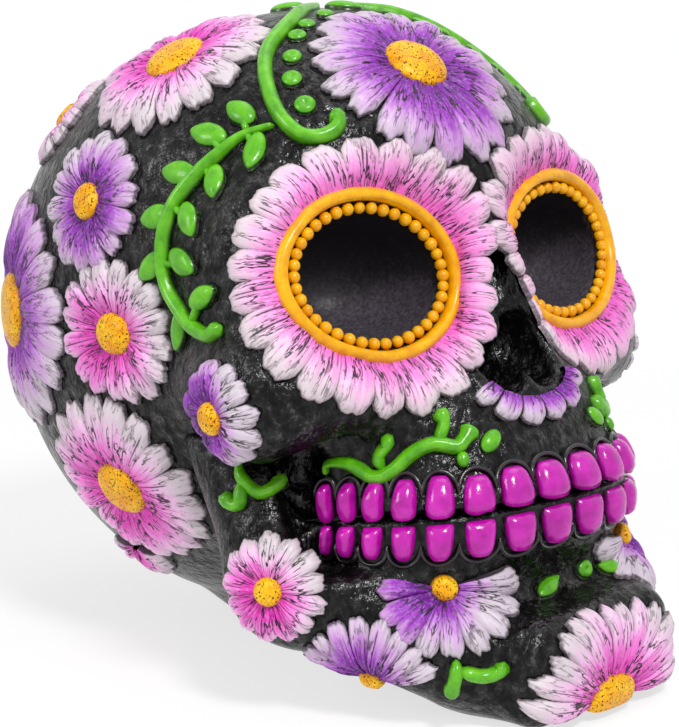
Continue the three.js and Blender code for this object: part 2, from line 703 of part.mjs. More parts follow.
// Relief point: a place on the skin with its seat just above the casting and its top above that.
function reliefAt(p, height, field = skin) {
  const normal = slopeOf(field, p).normalize();
  const low = p.clone().addScaledVector(normal, SEAT_GAP);
  return { low, high: low.clone().addScaledVector(normal, height) };
}

// Walks over the skin and gives the place reached and the heading there.
function walk(start, heading, distance) {
  const strides = Math.max(1, Math.ceil(Math.abs(distance) / 2));
  let place = start.clone();
  const way = heading.clone();
  for (let stride = 0; stride < strides; stride += 1) {
    const normal = normalAt(place);
    way.addScaledVector(normal, -way.dot(normal)).normalize();
    place = settle(skin, place.clone().addScaledVector(way, distance / strides), 0, 3);
  }
  return { place, way };
}

// One column of relief points: shares of a reach, with a height at each.
function reliefColumn(start, heading, reach, shares, heights) {
  let at = { place: start, way: heading };
  let gone = 0;
  return shares.map((share, n) => {
    if (share * reach > gone) at = walk(at.place, at.way, share * reach - gone);
    gone = share * reach;
    return reliefAt(at.place, heights[n]);
  });
}

const mirrored = ([x, y, z], side) => new THREE.Vector3(x * side, y, z);

// Directions over the skin at a place: up the skull, and across to the right of that.
function tangents(place) {
  const normal = normalAt(place);
  const pole = Math.abs(normal.z) > 0.9 ? new THREE.Vector3(0, 1, 0) : new THREE.Vector3(0, 0, 1);
  const up = pole.addScaledVector(normal, -pole.dot(normal)).normalize();
  return { up, right: new THREE.Vector3().crossVectors(up, normal) };
}

// The direction at an angle from one tangent towards another.
function bearing(ahead, aside, angle) {
  return ahead.clone().multiplyScalar(Math.cos(angle)).addScaledVector(aside, Math.sin(angle));
}

// Daisy: a dome, a ring-shaped valley and petals with notches between them.
function flower({ at, radius, petals, rings = 2, fan = 1, fanAim = 0 }, side) {
  const petalRing = (_, n) => DOME_SHARE + ((1 - DOME_SHARE) * n) / rings;
  const shares = [0, ...Array.from({ length: rings + 1 }, petalRing)];
  const middle = settle(skin, mirrored(at, side), 0);
  const { up, right } = tangents(middle);
  const count = petals * 2 + (fan < 1 ? 1 : 0);
  const columns = Array.from({ length: count }, (_, c) => {
    const angle = degrees(fanAim) + (c / (petals * 2) - 0.5) * 2 * Math.PI * fan;
    const tip = c % 2 === 1;
    const petal = tip ? PETAL_RELIEF : PETAL_RELIEF * NOTCH;
    const heights = [FLOWER_DOME, petal * PETAL_ROOT, ...Array(rings - 1).fill(petal), EDGE_RELIEF];
    const reach = tip ? radius : radius * PETAL_WAIST;
    return reliefColumn(middle, bearing(up, right, angle), reach, shares, heights);
  });
  return slab(columns, fan === 1);
}

// A place on the skin in line with the socket's edge, or beyond it, seen along the eye's own axis.
function eyePoint(angle, beyond, side) {
  const p = new THREE.Vector3(EYE_OUT, EYE_FORWARD, EYE_LEVEL);
  p.addScaledVector(eyeAcross, Math.cos(angle) * (SOCKET_HALF_WIDTH + beyond));
  p.addScaledVector(eyeUp, Math.sin(angle) * (SOCKET_HALF_HEIGHT + beyond));
  p.addScaledVector(eyeNormal, ORBIT_DEPTH);
  const inward = new THREE.Vector3(-eyeNormal.x * side, eyeNormal.y, -eyeNormal.z);
  return drop(new THREE.Vector3(p.x * side, -p.y, p.z), inward);
}

// Eye rim with a beaded inner edge.
function eyeRim(side) {
  const shares = [0, 0.5, 1];
  const columns = Array.from({ length: BEADS * 2 }, (_, c) => {
    const angle = (c / (BEADS * 2)) * 2 * Math.PI;
    const heights = [c % 2 === 1 ? RIM_HEIGHT : EDGE_RELIEF, RIM_HEIGHT, EDGE_RELIEF];
    return shares.map((share, n) => reliefAt(eyePoint(angle, share * RIM_BAND, side), heights[n]));
  });
  return slab(columns, true);
}

// One column of a petal, along its middle or in the notch between it and the next.
function petalColumn(from, heading, length, tip) {
  const petal = tip ? PETAL_RELIEF : PETAL_RELIEF * NOTCH;
  const reach = tip ? length : length * PETAL_WAIST;
  const heights = [petal * PETAL_ROOT, petal, EDGE_RELIEF];
  return reliefColumn(from, heading.normalize(), reach, [0, 0.5, 1], heights);
}

// Ring of petals round the eye rim, shorter beside the nose and longer below.
function eyePetals(side) {
  const start = RIM_BAND + SEAT_GAP;
  const columns = Array.from({ length: EYE_PETALS * 2 }, (_, c) => {
    const angle = (c / (EYE_PETALS * 2)) * 2 * Math.PI;
    const from = eyePoint(angle, start, side);
    const heading = eyePoint(angle, start + RIM_BAND, side).sub(from);
    const nasal = NASAL_SHORTENING * Math.max(0, -Math.cos(angle));
    const lower = LOWER_LENGTHENING * Math.max(0, -Math.sin(angle));
    return petalColumn(from, heading, EYE_PETAL_LENGTH * (1 - nasal + lower), c % 2 === 1);
  });
  return slab(columns, true);
}

// Fan of petals under the nose.
function nosePetals() {
  const columns = Array.from({ length: NOSE_PETALS * 2 + 1 }, (_, c) => {
    const angle = (degrees(NOSE_PETAL_FAN) * (c / NOSE_PETALS - 1)) / 2;
    const out = Math.sin(angle) * (NOSE_HALF_WIDTH + SEAT_GAP);
    const level = NOSE_LOBE_LEVEL - NOSE_PETAL_DROP - NOSE_LOBE_HALF_HEIGHT * Math.cos(angle);
    const from = settle(skin, new THREE.Vector3(out, -NOSE_FORWARD, level), 0);
    const heading = new THREE.Vector3(Math.sin(angle), 0, -Math.cos(angle));
    return petalColumn(from, heading, NOSE_PETAL_LENGTH, c % 2 === 1);
  });
  return slab(columns, false);
}

// A place on the front of the dental arch, by its turn from straight ahead.
function archPoint(turn) {
  const depth = ARCH_FRONT - ARCH_CORNER;
  const s = Math.sin(turn);
  const f = Math.cos(turn);
  const power = (s / ARCH_HALF_WIDTH) ** ARCH_SQUARENESS + (f / depth) ** ARCH_SQUARENESS;
  const radius = power ** (-1 / ARCH_SQUARENESS);
  return new THREE.Vector2(s * radius, ARCH_CORNER + f * radius);
}

// Turns at which the teeth end, from the middle outwards.
function toothTurns() {
  const hair = 0.005;
  const turns = [0];
  let turn = 0;
  for (let tooth = 0; tooth < TEETH_PER_SIDE; tooth += 1) {
    let width = FRONT_TOOTH_WIDTH * TOOTH_NARROWING ** tooth;
    while (width > 0) {
      width -= archPoint(turn).distanceTo(archPoint(turn + hair));
      turn += hair;
    }
    turns.push(turn);
  }
  return turns;
}

// One row: shallow at the grooves between teeth, full at both shoulders of each tooth.
function toothRow(field, way, length) {
  const turns = toothTurns();
  const stations = turns.slice(1).flatMap((turn, n) => [
    { turn: turns[n] + (turn - turns[n]) * TOOTH_SHOULDER, crown: 1 },
    { turn: turn - (turn - turns[n]) * TOOTH_SHOULDER, crown: 1 },
    { turn, crown: 0 },
  ]);
  const row = [
    ...stations.map((station) => ({ ...station, side: -1 })).reverse(),
    { turn: 0, crown: 0, side: 1 },
    ...stations.map((station) => ({ ...station, side: 1 })),
  ];
  const columns = row.map(({ turn, crown, side }) => {
    const { x: s, y: f } = archPoint(turn);
    const tall = length * (1 - BACK_TOOTH_SHORTENING * (1 - Math.cos(turn)));
    return [[0, 0.4], [0.4, 1], [1, 0]].map(([share, fullness]) => {
      const z = biteLevel(f) + way * (BITE_CLEARANCE + share * (tall - BITE_CLEARANCE));
      const place = settle(field, new THREE.Vector3(s * side, -f, z), 0);
      return reliefAt(place, EDGE_RELIEF + (TOOTH_RELIEF - EDGE_RELIEF) * crown * fullness, field);
    });
  });
  return slab(columns, false);
}

// Places along a vine, each with the way ahead and the way to its left.
function stemStations(points, side) {
  const curve = new THREE.CatmullRomCurve3(points.map((point) => mirrored(point, side)));
  const count = Math.round(curve.getLength() / STEM_STEP);
  const places = curve.getSpacedPoints(count).map((point) => settle(skin, point, 0));
  return places.map((place, n) => {
    const way = places[Math.min(n + 1, count)].clone().sub(places[Math.max(n - 1, 0)]).normalize();
    return { place, way, left: new THREE.Vector3().crossVectors(normalAt(place), way) };
  });
}

// A row of relief points from the right edge to the left one, ridged in the middle.
function ridgedRow(place, left, half, ridge, edge) {
  return [-1, 0, 1].map((share) => {
    const foot = settle(skin, place.clone().addScaledVector(left, share * half), 0, 3);
    return reliefAt(foot, share === 0 ? ridge : edge);
  });
}

// Ridged stem of a vine, narrow at both ends.
function stemRows(stations, width) {
  const last = stations.length - 1;
  return stations.map(({ place, left }, n) => {
    const half = (width / 2) * (n === 0 || n === last ? STEM_TIP : 1);
    return ridgedRow(place, left, half, STEM_RELIEF, EDGE_RELIEF * STEM_EDGE);
  });
}

// Leaf that grows out of a stem's edge, between two of its points.
function leafNet(behind, ahead, heading, hand) {
  const start = settle(skin, behind.low.clone().lerp(ahead.low, 0.5), 0);
  const rows = LEAF_OUTLINE.map(([share, spread]) => {
    const { place, way } = walk(start, heading, share * LEAF_LENGTH);
    const left = new THREE.Vector3().crossVectors(normalAt(place), way);
    return ridgedRow(place, left, (spread * LEAF_WIDTH) / 2, LEAF_RELIEF, EDGE_RELIEF);
  });
  const tip = reliefAt(walk(start, heading, LEAF_LENGTH).place, EDGE_RELIEF);
  const root = hand > 0 ? [ahead, ahead, behind] : [behind, behind, ahead];
  return slabNet([root, ...rows, [tip, tip, tip]], false, (wall) => wall === "start");
}

function vine({ points, width, leaves }, side) {
  const stations = stemStations(points, side);
  const rows = stemRows(stations, width);
  const roots = leaves.map(([share, way]) => {
    const hand = way * side;
    return { n: Math.floor(share * (stations.length - 1)), hand, wall: hand > 0 ? "far" : "near" };
  });
  const isOpen = (wall, n) => roots.some((root) => root.n === n && root.wall === wall);
  const leafNets = roots.map(({ n, hand }) => {
    const edge = hand > 0 ? 2 : 0;
    const heading = bearing(stations[n].way, stations[n].left, hand * degrees(LEAF_ANGLE));
    return leafNet(rows[n][edge], rows[n + 1][edge], heading, hand);
  });
  return solidOf(mergeGeometries([slabNet(rows, false, isOpen), ...leafNets]));
}

// Both sides of the skull: right is the near side, at -X, and left its mirror image.
const SIDES = [["right", 1], ["left", -1]];

function addOrnaments() {
  MIDDLE_FLOWERS.forEach((spec) => addPiece(spec.name, geometryOf(flower(spec, 1)), spec.colour, 0.5));
  SIDES.forEach(([word, side]) => {
    SIDE_FLOWERS.forEach((spec) => {
      addPiece(`${spec.name}_${word}`, geometryOf(flower(spec, side)), spec.colour, 0.5);
    });
    VINES.forEach((spec) => addPiece(`${spec.name}_${word}`, geometryOf(vine(spec, side)), LEAF_GREEN, 0.4));
    addPiece(`eye_rim_${word}`, geometryOf(eyeRim(-side)), RIM_YELLOW, 0.4);
    addPiece(`eye_petals_${word}`, geometryOf(eyePetals(-side)), PINK, 0.5);
  });
  addPiece("nose_petals", geometryOf(nosePetals()), PURPLE, 0.5);
  addPiece("upper_teeth", geometryOf(toothRow(craniumSkin, 1, UPPER_TOOTH_LENGTH)), TOOTH_MAGENTA, 0.35);
  addPiece("lower_teeth", geometryOf(toothRow(jawSkin, -1, LOWER_TOOTH_LENGTH)), TOOTH_MAGENTA, 0.35);
}

// The middle of the footprint goes to the origin.
function centre() {
  const box = new THREE.Box3().setFromObject(skull);
  skull.position.y = -(box.min.y + box.max.y) / 2;
}

addCastings();
addOrnaments();
centre();

export default skull;
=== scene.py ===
"""Painted sugar skull: the visual model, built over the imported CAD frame.

The bare skull and jaw are meshed from the distance fields of the CAD part, finer and with a few more
furrows, and every flower, vine, rim and tooth is modelled petal by petal and draped on that skin.
Lengths are millimetres in the sculpt's own coordinates until a mesh is made, then metres in the frame.
"""
from math import cos, hypot, pi, radians, sin

import bpy
import numpy as np
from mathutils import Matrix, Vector
from mathutils.kdtree import KDTree


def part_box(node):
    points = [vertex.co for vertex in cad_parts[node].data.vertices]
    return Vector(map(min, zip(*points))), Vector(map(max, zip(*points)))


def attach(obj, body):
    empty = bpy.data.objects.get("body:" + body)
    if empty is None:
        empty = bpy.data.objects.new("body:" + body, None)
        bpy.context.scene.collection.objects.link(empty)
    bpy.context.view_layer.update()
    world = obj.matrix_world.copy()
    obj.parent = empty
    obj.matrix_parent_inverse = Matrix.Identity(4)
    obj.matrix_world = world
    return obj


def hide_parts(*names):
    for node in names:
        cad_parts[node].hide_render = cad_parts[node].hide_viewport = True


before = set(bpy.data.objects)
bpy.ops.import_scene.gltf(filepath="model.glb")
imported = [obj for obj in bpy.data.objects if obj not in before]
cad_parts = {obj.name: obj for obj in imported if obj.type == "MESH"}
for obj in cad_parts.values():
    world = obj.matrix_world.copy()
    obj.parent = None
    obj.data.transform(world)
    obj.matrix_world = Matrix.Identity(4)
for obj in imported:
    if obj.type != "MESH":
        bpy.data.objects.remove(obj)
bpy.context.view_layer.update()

MM = 0.001
TINY = 1e-6
FULL_TURN = 2 * pi
BACKWARD = np.array([0.0, 1.0, 0.0])
UPWARD = np.array([0.0, 0.0, 1.0])

# Forms of the bare skull, as in the CAD part. Places are out from the middle, forward and up.
# An egg has a middle, half sizes and a fillet, and a bar has two ends and two radii.
BRAIN_HALF = (58, 66, 58.5)
BRAIN_BEHIND = 15
BRAIN_LEVEL = 82
BRAIN_TILT = radians(24)
BRAIN_SQUARENESS = 2.6
OCCIPUT = ((0, -27, 58), (47, 54, 53.5), 16)
FOOT = ((0, -24, 8), (12, 13, 9.5), 8)
FRONTAL = ((0, -1, 103), (43, 43, 40), 10)
BRIDGE = ((0, 25, 91), (9, 19, 22), 8)
EYE = (30, 38.5, 91)
EYE_YAW = radians(5)
EYE_PITCH = radians(16)
EYE_ROLL = radians(-5)
ORBIT_HALF = (28, 14, 20.5)
ORBIT_ROUNDING = 10
ORBIT_FILLET = 10
FLAT_MARGIN = 6
FLAT_FLARE = 0.9
FLAT_LEVEL = 0.5
FLAT_CORNER = 8
FLAT_FILLET = 5
SOCKET_HALF = (19, 28, 14)
SOCKET_LIP = 2
NOSE_HALF_WIDTH = 12
NOSE_FORWARD = 57
NOSE_LOBE_LEVEL = 74
NOSE_LOBE_HALF = (6.6, 18, 8)
NOSE_LOBE_OUT = 5.4
NOSE_SLOT = ((3, 57, 79), (0, 43, 92), 7, 4)
NOSE_FILLET = 3
CHEEKBONE = ((38, 41, 69), (52, 30, 66), 8, 8.5)
CHEEK_ARCH = ((52, 30, 66), (52, 14, 68), 8.5, 4)
CHEEK_FILLET = 12
ARCH_HALF_WIDTH = 38.5
ARCH_FRONT = 69
ARCH_CORNER = 30
ARCH_BACK = 6
ARCH_SQUARENESS = 2.7
ARCH_FILLET = 8
BITE_LEVEL = 46
BITE_SLOPE = 0.13
BITE_FILLET = 3
UPPER_JAW_HEIGHT = 38
UPPER_JAW_TAPER = 0.55
UPPER_JAW_FILLET = 16
CHIN_HALF = (24, 14.5, 11.7)
CHIN_FRONT = 80
CHIN_ROUNDING = 7.5
JAW_BODY = ((24, 58, 14.5), (42, 29, 28), 11.5, 12.7)
JAW_RAMUS = ((42, 29, 28), (47, 10, 60), 12.7, 8)
JAW_FILLET = 8
LOWER_GUM_DEPTH = 8
LOWER_GUM_FILLET = 10
LOWER_JAW_FLOOR = 14
LOWER_JAW_TAPER = 0.5
HOLLOW = ((0, -26, 76), (44, 38, 42), 6)
CASTING_WALL = 13
FORAMEN_RADIUS = 9
FORAMEN_BEHIND = 1
SEAM_GAP = 0.8
EDGE_FILLET = 2

# Forms of the visual model alone: the raised edges of the nose, and the furrows of the jaw.
NASAL_RIDGE = ((0, 40.8, 104), (9.2, 50.2, 74), 2.6, 2.6)
NASAL_FILLET = 4
CHANNEL = [(40.5, 30.4, 58, 4.2), (41, 29.4, 49, 4.8), (43.8, 33.6, 42, 4.5), (46.3, 38, 35.5, 3.2)]
UNDERCUT = ((49, 33.5, 56.5), (38.5, 42.5, 58), 3.6, 2.0)
TRENCH_DEPTH = 11.5
TRENCH_BACK = 33
TRENCH_STEP = 0.6
TRENCH_FILLET = 3

# The sculpt's place in the frame: the chin's front is at the same place in both.
SHIFT = np.array([0.0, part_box("lower_jaw")[0].y * 1000 + CHIN_FRONT, 0.0])

SEED = 7
rng = np.random.default_rng(SEED)


def spread(amount):
    """A random number from minus an amount to plus it."""
    return rng.uniform(-amount, amount)


def circle(count):
    return np.linspace(0, FULL_TURN, count, endpoint=False)


def crossed(rows, columns):
    """Two arrays over a grid, from the values of its rows and of its columns."""
    return np.meshgrid(rows, columns, indexing="ij")


def turned(angles, x, y):
    """Directions turned by some angles from x to y."""
    return np.cos(angles)[..., None] * x + np.sin(angles)[..., None] * y


# Distance fields, over arrays of s (out from the middle), f (forward) and z (up).
def ellipsoid(x, y, z, half):
    a, b, c = half
    k = np.sqrt((x / a) ** 2 + (y / b) ** 2 + (z / c) ** 2)
    slope = np.sqrt((x / a**2) ** 2 + (y / b**2) ** 2 + (z / c**2) ** 2)
    return k * (k - 1) / np.maximum(slope, TINY)


def rounded_box(x, y, z, half, rounding):
    p, q, r = [np.abs(v) - h + rounding for v, h in zip((x, y, z), half)]
    outside = np.sqrt(np.maximum(p, 0) ** 2 + np.maximum(q, 0) ** 2 + np.maximum(r, 0) ** 2)
    return outside + np.minimum(np.maximum(np.maximum(p, q), r), 0) - rounding


def bar(x, y, z, ends):
    start, end, start_radius, end_radius = ends
    d = np.subtract(end, start)
    px, py, pz = x - start[0], y - start[1], z - start[2]
    t = np.clip((px * d[0] + py * d[1] + pz * d[2]) / (d @ d), 0, 1)
    away = np.sqrt((px - t * d[0]) ** 2 + (py - t * d[1]) ** 2 + (pz - t * d[2]) ** 2)
    return away - (start_radius + (end_radius - start_radius) * t)


def square_egg(x, y, z, half, n):
    """An egg round its long axis that is squarer across, by the power n."""
    a, b, c = half
    rho = np.maximum(np.sqrt((y / b) ** 2 + (z / c) ** 2), TINY)
    u = x / a
    k = np.maximum((rho**n + u**n) ** (1 / n), TINY)
    rim = k ** (1 - n) * rho ** (n - 2)
    across = k ** (1 - n) * u ** (n - 1) / a
    slope = np.sqrt(across**2 + (rim * y / b**2) ** 2 + (rim * z / c**2) ** 2)
    return (k - 1) / np.maximum(slope, TINY)


def join(a, b, fillet):
    h = np.maximum(fillet - np.abs(a - b), 0) / fillet
    return np.minimum(a, b) - h * h * fillet / 4


def keep(a, b, fillet):
    """What two forms share."""
    return -join(-a, -b, fillet)


def with_egg(d, s, f, z, egg):
    middle, half, fillet = egg
    return join(d, ellipsoid(s - middle[0], f - middle[1], z - middle[2], half), fillet)


def eye_axes():
    """The eye's own frame: across, out of the face, and up."""
    level = np.array([sin(EYE_YAW), cos(EYE_YAW), 0.0])
    normal = level * cos(EYE_PITCH) + UPWARD * sin(EYE_PITCH)
    across = np.array([level[1], -level[0], 0.0])
    across = across * cos(EYE_ROLL) + np.cross(normal, across) * sin(EYE_ROLL)
    return across, normal, np.cross(across, normal)


EYE_ACROSS, EYE_OUTWARD, EYE_UP = eye_axes()


def in_eye_frame(s, f, z):
    px, py, pz = s - EYE[0], f - EYE[1], z - EYE[2]
    return [px * a[0] + py * a[1] + pz * a[2] for a in (EYE_ACROSS, EYE_OUTWARD, EYE_UP)]


def bite_level(f):
    return BITE_LEVEL - BITE_SLOPE * (ARCH_FRONT - f)


def dental_arch(s, f):
    n = ARCH_SQUARENESS
    a, b = ARCH_HALF_WIDTH, ARCH_FRONT - ARCH_CORNER
    u, v = s / a, np.maximum(f - ARCH_CORNER, 0) / b
    k = np.maximum((u**n + v**n) ** (1 / n), TINY)
    slope = k ** (1 - n) * np.sqrt((u ** (n - 1) / a) ** 2 + (v ** (n - 1) / b) ** 2)
    return keep((k - 1) / np.maximum(slope, TINY), ARCH_BACK - f, ARCH_FILLET)


def eye_flat(across, out, up):
    """What is cut away in front of each eye, down to the flat that its rim lies on."""
    edge = ellipsoid(across, 0, up, (SOCKET_HALF[0] + FLAT_MARGIN, 1, SOCKET_HALF[2] + FLAT_MARGIN))
    wall = (edge - FLAT_FLARE * out) / hypot(1, FLAT_FLARE)
    return keep(wall, FLAT_LEVEL - out, FLAT_CORNER)


def cranium_plain(s, f, z):
    """The cranium without its openings and without the raised edges of its nose."""
    bf, bz = f + BRAIN_BEHIND, z - BRAIN_LEVEL
    along = bf * cos(BRAIN_TILT) + bz * sin(BRAIN_TILT)
    above = bz * cos(BRAIN_TILT) - bf * sin(BRAIN_TILT)
    d = square_egg(s, along, above, BRAIN_HALF, BRAIN_SQUARENESS)
    for egg in (OCCIPUT, FOOT, FRONTAL):
        d = with_egg(d, s, f, z, egg)
    across, out, up = in_eye_frame(s, f, z)
    d = join(d, rounded_box(across, out + ORBIT_HALF[1], up, ORBIT_HALF, ORBIT_ROUNDING), ORBIT_FILLET)
    d = with_egg(d, s, f, z, BRIDGE)
    for ends in (CHEEKBONE, CHEEK_ARCH):
        d = join(d, bar(s, f, z, ends), CHEEK_FILLET)
    wall = dental_arch(s, f) + np.maximum(0, z - BITE_LEVEL) * UPPER_JAW_TAPER
    upper_jaw = keep(wall, bite_level(f) - z, BITE_FILLET)
    upper_jaw = keep(upper_jaw, z - BITE_LEVEL - UPPER_JAW_HEIGHT, BITE_FILLET)
    return keep(join(d, upper_jaw, UPPER_JAW_FILLET), -eye_flat(across, out, up), FLAT_FILLET)


def cranium_form(s, f, z):
    return join(cranium_plain(s, f, z), bar(s, f, z, NASAL_RIDGE), NASAL_FILLET)


def jaw_form(s, f, z):
    d = rounded_box(s, f - CHIN_FRONT + CHIN_HALF[1], z - CHIN_HALF[2], CHIN_HALF, CHIN_ROUNDING)
    for ends in (JAW_BODY, JAW_RAMUS):
        d = join(d, bar(s, f, z, ends), JAW_FILLET)
    wall = dental_arch(s, f) + np.maximum(0, BITE_LEVEL - LOWER_GUM_DEPTH - z) * LOWER_JAW_TAPER
    gum = keep(keep(wall, z - bite_level(f), BITE_FILLET), LOWER_JAW_FLOOR - z, BITE_FILLET)
    return join(d, gum, LOWER_GUM_FILLET)


def socket_form(s, f, z):
    across, out, up = in_eye_frame(s, f, z)
    return ellipsoid(across, out - SOCKET_LIP, up, SOCKET_HALF)


def nose_form(s, f, z):
    lobes = ellipsoid(s - NOSE_LOBE_OUT, f - NOSE_FORWARD, z - NOSE_LOBE_LEVEL, NOSE_LOBE_HALF)
    return join(lobes, bar(s, f, z, NOSE_SLOT), NOSE_FILLET)


def hollow_form(s, f, z):
    """The inside of the cranium, and the hole that leads into it from below."""
    (_, _, level), half, _ = OCCIPUT
    lower = ellipsoid(s, f - HOLLOW[0][1], z - level, [n - CASTING_WALL for n in half])
    foramen = np.maximum(np.sqrt(s**2 + (f + FORAMEN_BEHIND) ** 2) - FORAMEN_RADIUS, z - level)
    return np.minimum(with_egg(lower, s, f, z, HOLLOW), foramen)


def cranium_outside(s, f, z):
    opened = keep(cranium_form(s, f, z), -socket_form(s, f, z), EDGE_FILLET)
    return keep(opened, -nose_form(s, f, z), EDGE_FILLET)


def channel_form(s, f, z):
    """The deep furrow between the ramus and the back teeth, and its way on under the cheekbone."""
    runs = [bar(s, f, z, (a[:3], b[:3], a[3], b[3])) for a, b in zip(CHANNEL, CHANNEL[1:])]
    return np.minimum.reduce([*runs, bar(s, f, z, UNDERCUT)])


def cranium_body(s, f, z):
    outside = keep(cranium_outside(s, f, z), -channel_form(s, f, z), EDGE_FILLET)
    return np.maximum(np.maximum(outside, -hollow_form(s, f, z)), -z)


def jaw_outside(s, f, z):
    """The jaw with its furrows: the trench follows the lower teeth, outside the wall that holds them."""
    trench = keep(TRENCH_STEP - dental_arch(s, f), bite_level(f) - TRENCH_DEPTH - z, TRENCH_FILLET)
    trench = keep(trench, TRENCH_BACK - f, TRENCH_FILLET)
    return keep(jaw_form(s, f, z), -np.minimum(trench, channel_form(s, f, z)), EDGE_FILLET)


def jaw_body(s, f, z):
    return np.maximum(np.maximum(jaw_outside(s, f, z), SEAM_GAP - cranium_outside(s, f, z)), -z)


def over_points(form):
    """A field over points of the sculpt, from one over s, f and z."""
    return lambda p: form(np.abs(p[..., 0]), -p[..., 1], p[..., 2])


cranium_skin = over_points(cranium_form)
rim_seat = over_points(cranium_plain)
jaw_skin = over_points(jaw_form)
lower_gum = over_points(jaw_outside)


def skin(p):
    """The surface that the ornament lies on: both castings, without their openings and furrows."""
    return np.minimum(cranium_skin(p), jaw_skin(p))


# Walking on a field's surface.
SLOPE_STEP = 0.05
LEAST_SLOPE = 0.05


def slope_of(field, p):
    steps = np.concatenate([np.eye(3) * SLOPE_STEP, np.eye(3) * -SLOPE_STEP])
    values = field(p[None] + steps.reshape(6, *([1] * (p.ndim - 1)), 3))
    return np.moveaxis(values[:3] - values[3:], 0, -1) / (2 * SLOPE_STEP)


def unit(v):
    return v / np.maximum(np.linalg.norm(v, axis=-1, keepdims=True), 1e-9)


def normal_on(p, field=skin):
    return unit(slope_of(field, p))


def settle(p, field=skin, turns=4, least=LEAST_SLOPE, limit=np.inf):
    """Moves points along the slope of a field on to its surface, by no more than a limit at each turn."""
    for _ in range(turns):
        g = slope_of(field, p)
        move = g * (field(p) / np.maximum((g * g).sum(-1), least))[..., None]
        p = p - np.clip(move, -limit, limit)
    return p


# Edges of the ornament, round which the skin is darkened with painted shade and sunk a little.
outlines = []


class Piece:
    """Grids of points with painted values at each, gathered into one mesh."""

    def __init__(self):
        self.points = []
        self.faces = []
        self.kinds = []
        self.values = {}
        self.count = 0

    def add(self, points, faces, values, kind=0):
        for name in dict.fromkeys([*self.values, *values]):
            held = self.values.setdefault(name, [np.zeros(self.count)])
            held.append(np.broadcast_to(np.ravel(values.get(name, 0.0)), len(points)))
        self.points.append(points)
        self.faces.append(faces + self.count)
        self.kinds.append(np.full(len(faces), kind))
        self.count += len(points)

    def grid(self, places, outward, height, values, kind=0, wrap=False):
        """Adds a grid [row, column, 3] at a height over some places, its faces turned outward."""
        points = places + outward * np.asarray(height)[..., None]
        rows, columns = points.shape[:2]
        spans = columns if wrap else columns - 1
        r, c = crossed(np.arange(rows - 1), np.arange(spans))
        near, far = r * columns, (r + 1) * columns
        d = (c + 1) % columns
        quads = np.stack([near + c, far + c, far + d, near + d], -1).reshape(-1, 4)
        flat = points.reshape(-1, 3)
        a, b, e = flat[quads[:, 0]], flat[quads[:, 1]], flat[quads[:, 3]]
        facing = np.cross(b - a, e - a) * outward.reshape(-1, 3)[quads[:, 0]]
        if facing.sum() < 0:
            quads = quads[:, ::-1]
        self.add(flat, quads, values, kind)

    def make(self, name, slot, *materials, replaces=True):
        """Makes the mesh in the frame. It stands for the CAD node of the same name, if it replaces one."""
        points = (np.concatenate(self.points) + SHIFT) * MM
        mesh = bpy.data.meshes.new(f"painted_{name}")
        mesh.from_pydata(points.tolist(), [], np.concatenate(self.faces).tolist(), shade_flat=False)
        mesh.polygons.foreach_set("material_index", np.concatenate(self.kinds))
        mesh.validate()
        for key, parts in self.values.items():
            mesh.attributes.new(key, "FLOAT", "POINT").data.foreach_set("value", np.concatenate(parts))
        for material in materials:
            mesh.materials.append(material)
        piece = bpy.data.objects.new(f"painted_{name}", mesh)
        bpy.context.scene.collection.objects.link(piece)
        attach(piece, "root")
        if replaces:
            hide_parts(name)


def smooth(low, high, x):
    t = np.clip((x - low) / (high - low), 0, 1)
    return t * t * (3 - 2 * t)


class Drape:
    """A sheet of skin round a flower or a rim, walked over column by column from its starts."""

    def __init__(self, starts, headings, reaches, steps, wrap):
        walk = [starts]
        way = headings
        for _ in range(steps):
            n = normal_on(walk[-1])
            way = unit(way - n * (way * n).sum(-1, keepdims=True))
            walk.append(settle(walk[-1] + way * (reaches / steps)[:, None], turns=2))
        places = np.stack(walk, 1)
        self.places = np.concatenate([places, places[:1]]) if wrap else places
        self.normals = normal_on(self.places)
        self.wrap = wrap
        self.columns = len(self.places) - 1
        self.steps = steps

    def at(self, turn, share):
        """Places and normals at a turn from 0 to 1 round the sheet and a share of the reach."""
        t = (np.mod(turn, 1) if self.wrap else np.clip(turn, 0, 1)) * self.columns
        r = np.clip(share, 0, 1) * self.steps
        i = np.minimum(t.astype(int), self.columns - 1)
        j = np.minimum(r.astype(int), self.steps - 1)
        a, b = (t - i)[..., None], (r - j)[..., None]

        def mix(table):
            low = table[i, j] * (1 - a) + table[i + 1, j] * a
            high = table[i, j + 1] * (1 - a) + table[i + 1, j + 1] * a
            return low * (1 - b) + high * b

        return mix(self.places), unit(mix(self.normals))


# Petals: u runs from the root to the tip and v from side to side.
PETAL_ROWS = 17
PETAL_COLUMNS = 27
COLUMN_CROWDING = 1.35
PETAL_SINK = 0.5
PETAL_LEAN = 0.2
TIP_CHANGE = (-0.07, 0.02)
LIFT_CHANGE = (0.94, 1.06)
CREASES = (4, 7)
CREASE_SPREAD = 0.76
CREASE_SHIFT = 0.1
CREASE_WIDTH = (0.04, 0.075)
CREASE_START = (-0.25, 0.1)
CREASE_ENDS = [0.45, 0.7, 0.95]
CREASE_END_SHIFT = 0.08
CREASE_BEND = 0.14
CREASE_STRENGTH = (0.45, 1)
CREASE_DEPTH = 0.5
DOME_HEIGHT = 2.7
DOME_RINGS = 12
DOME_COLUMNS = 40
PINHOLE = 0.002


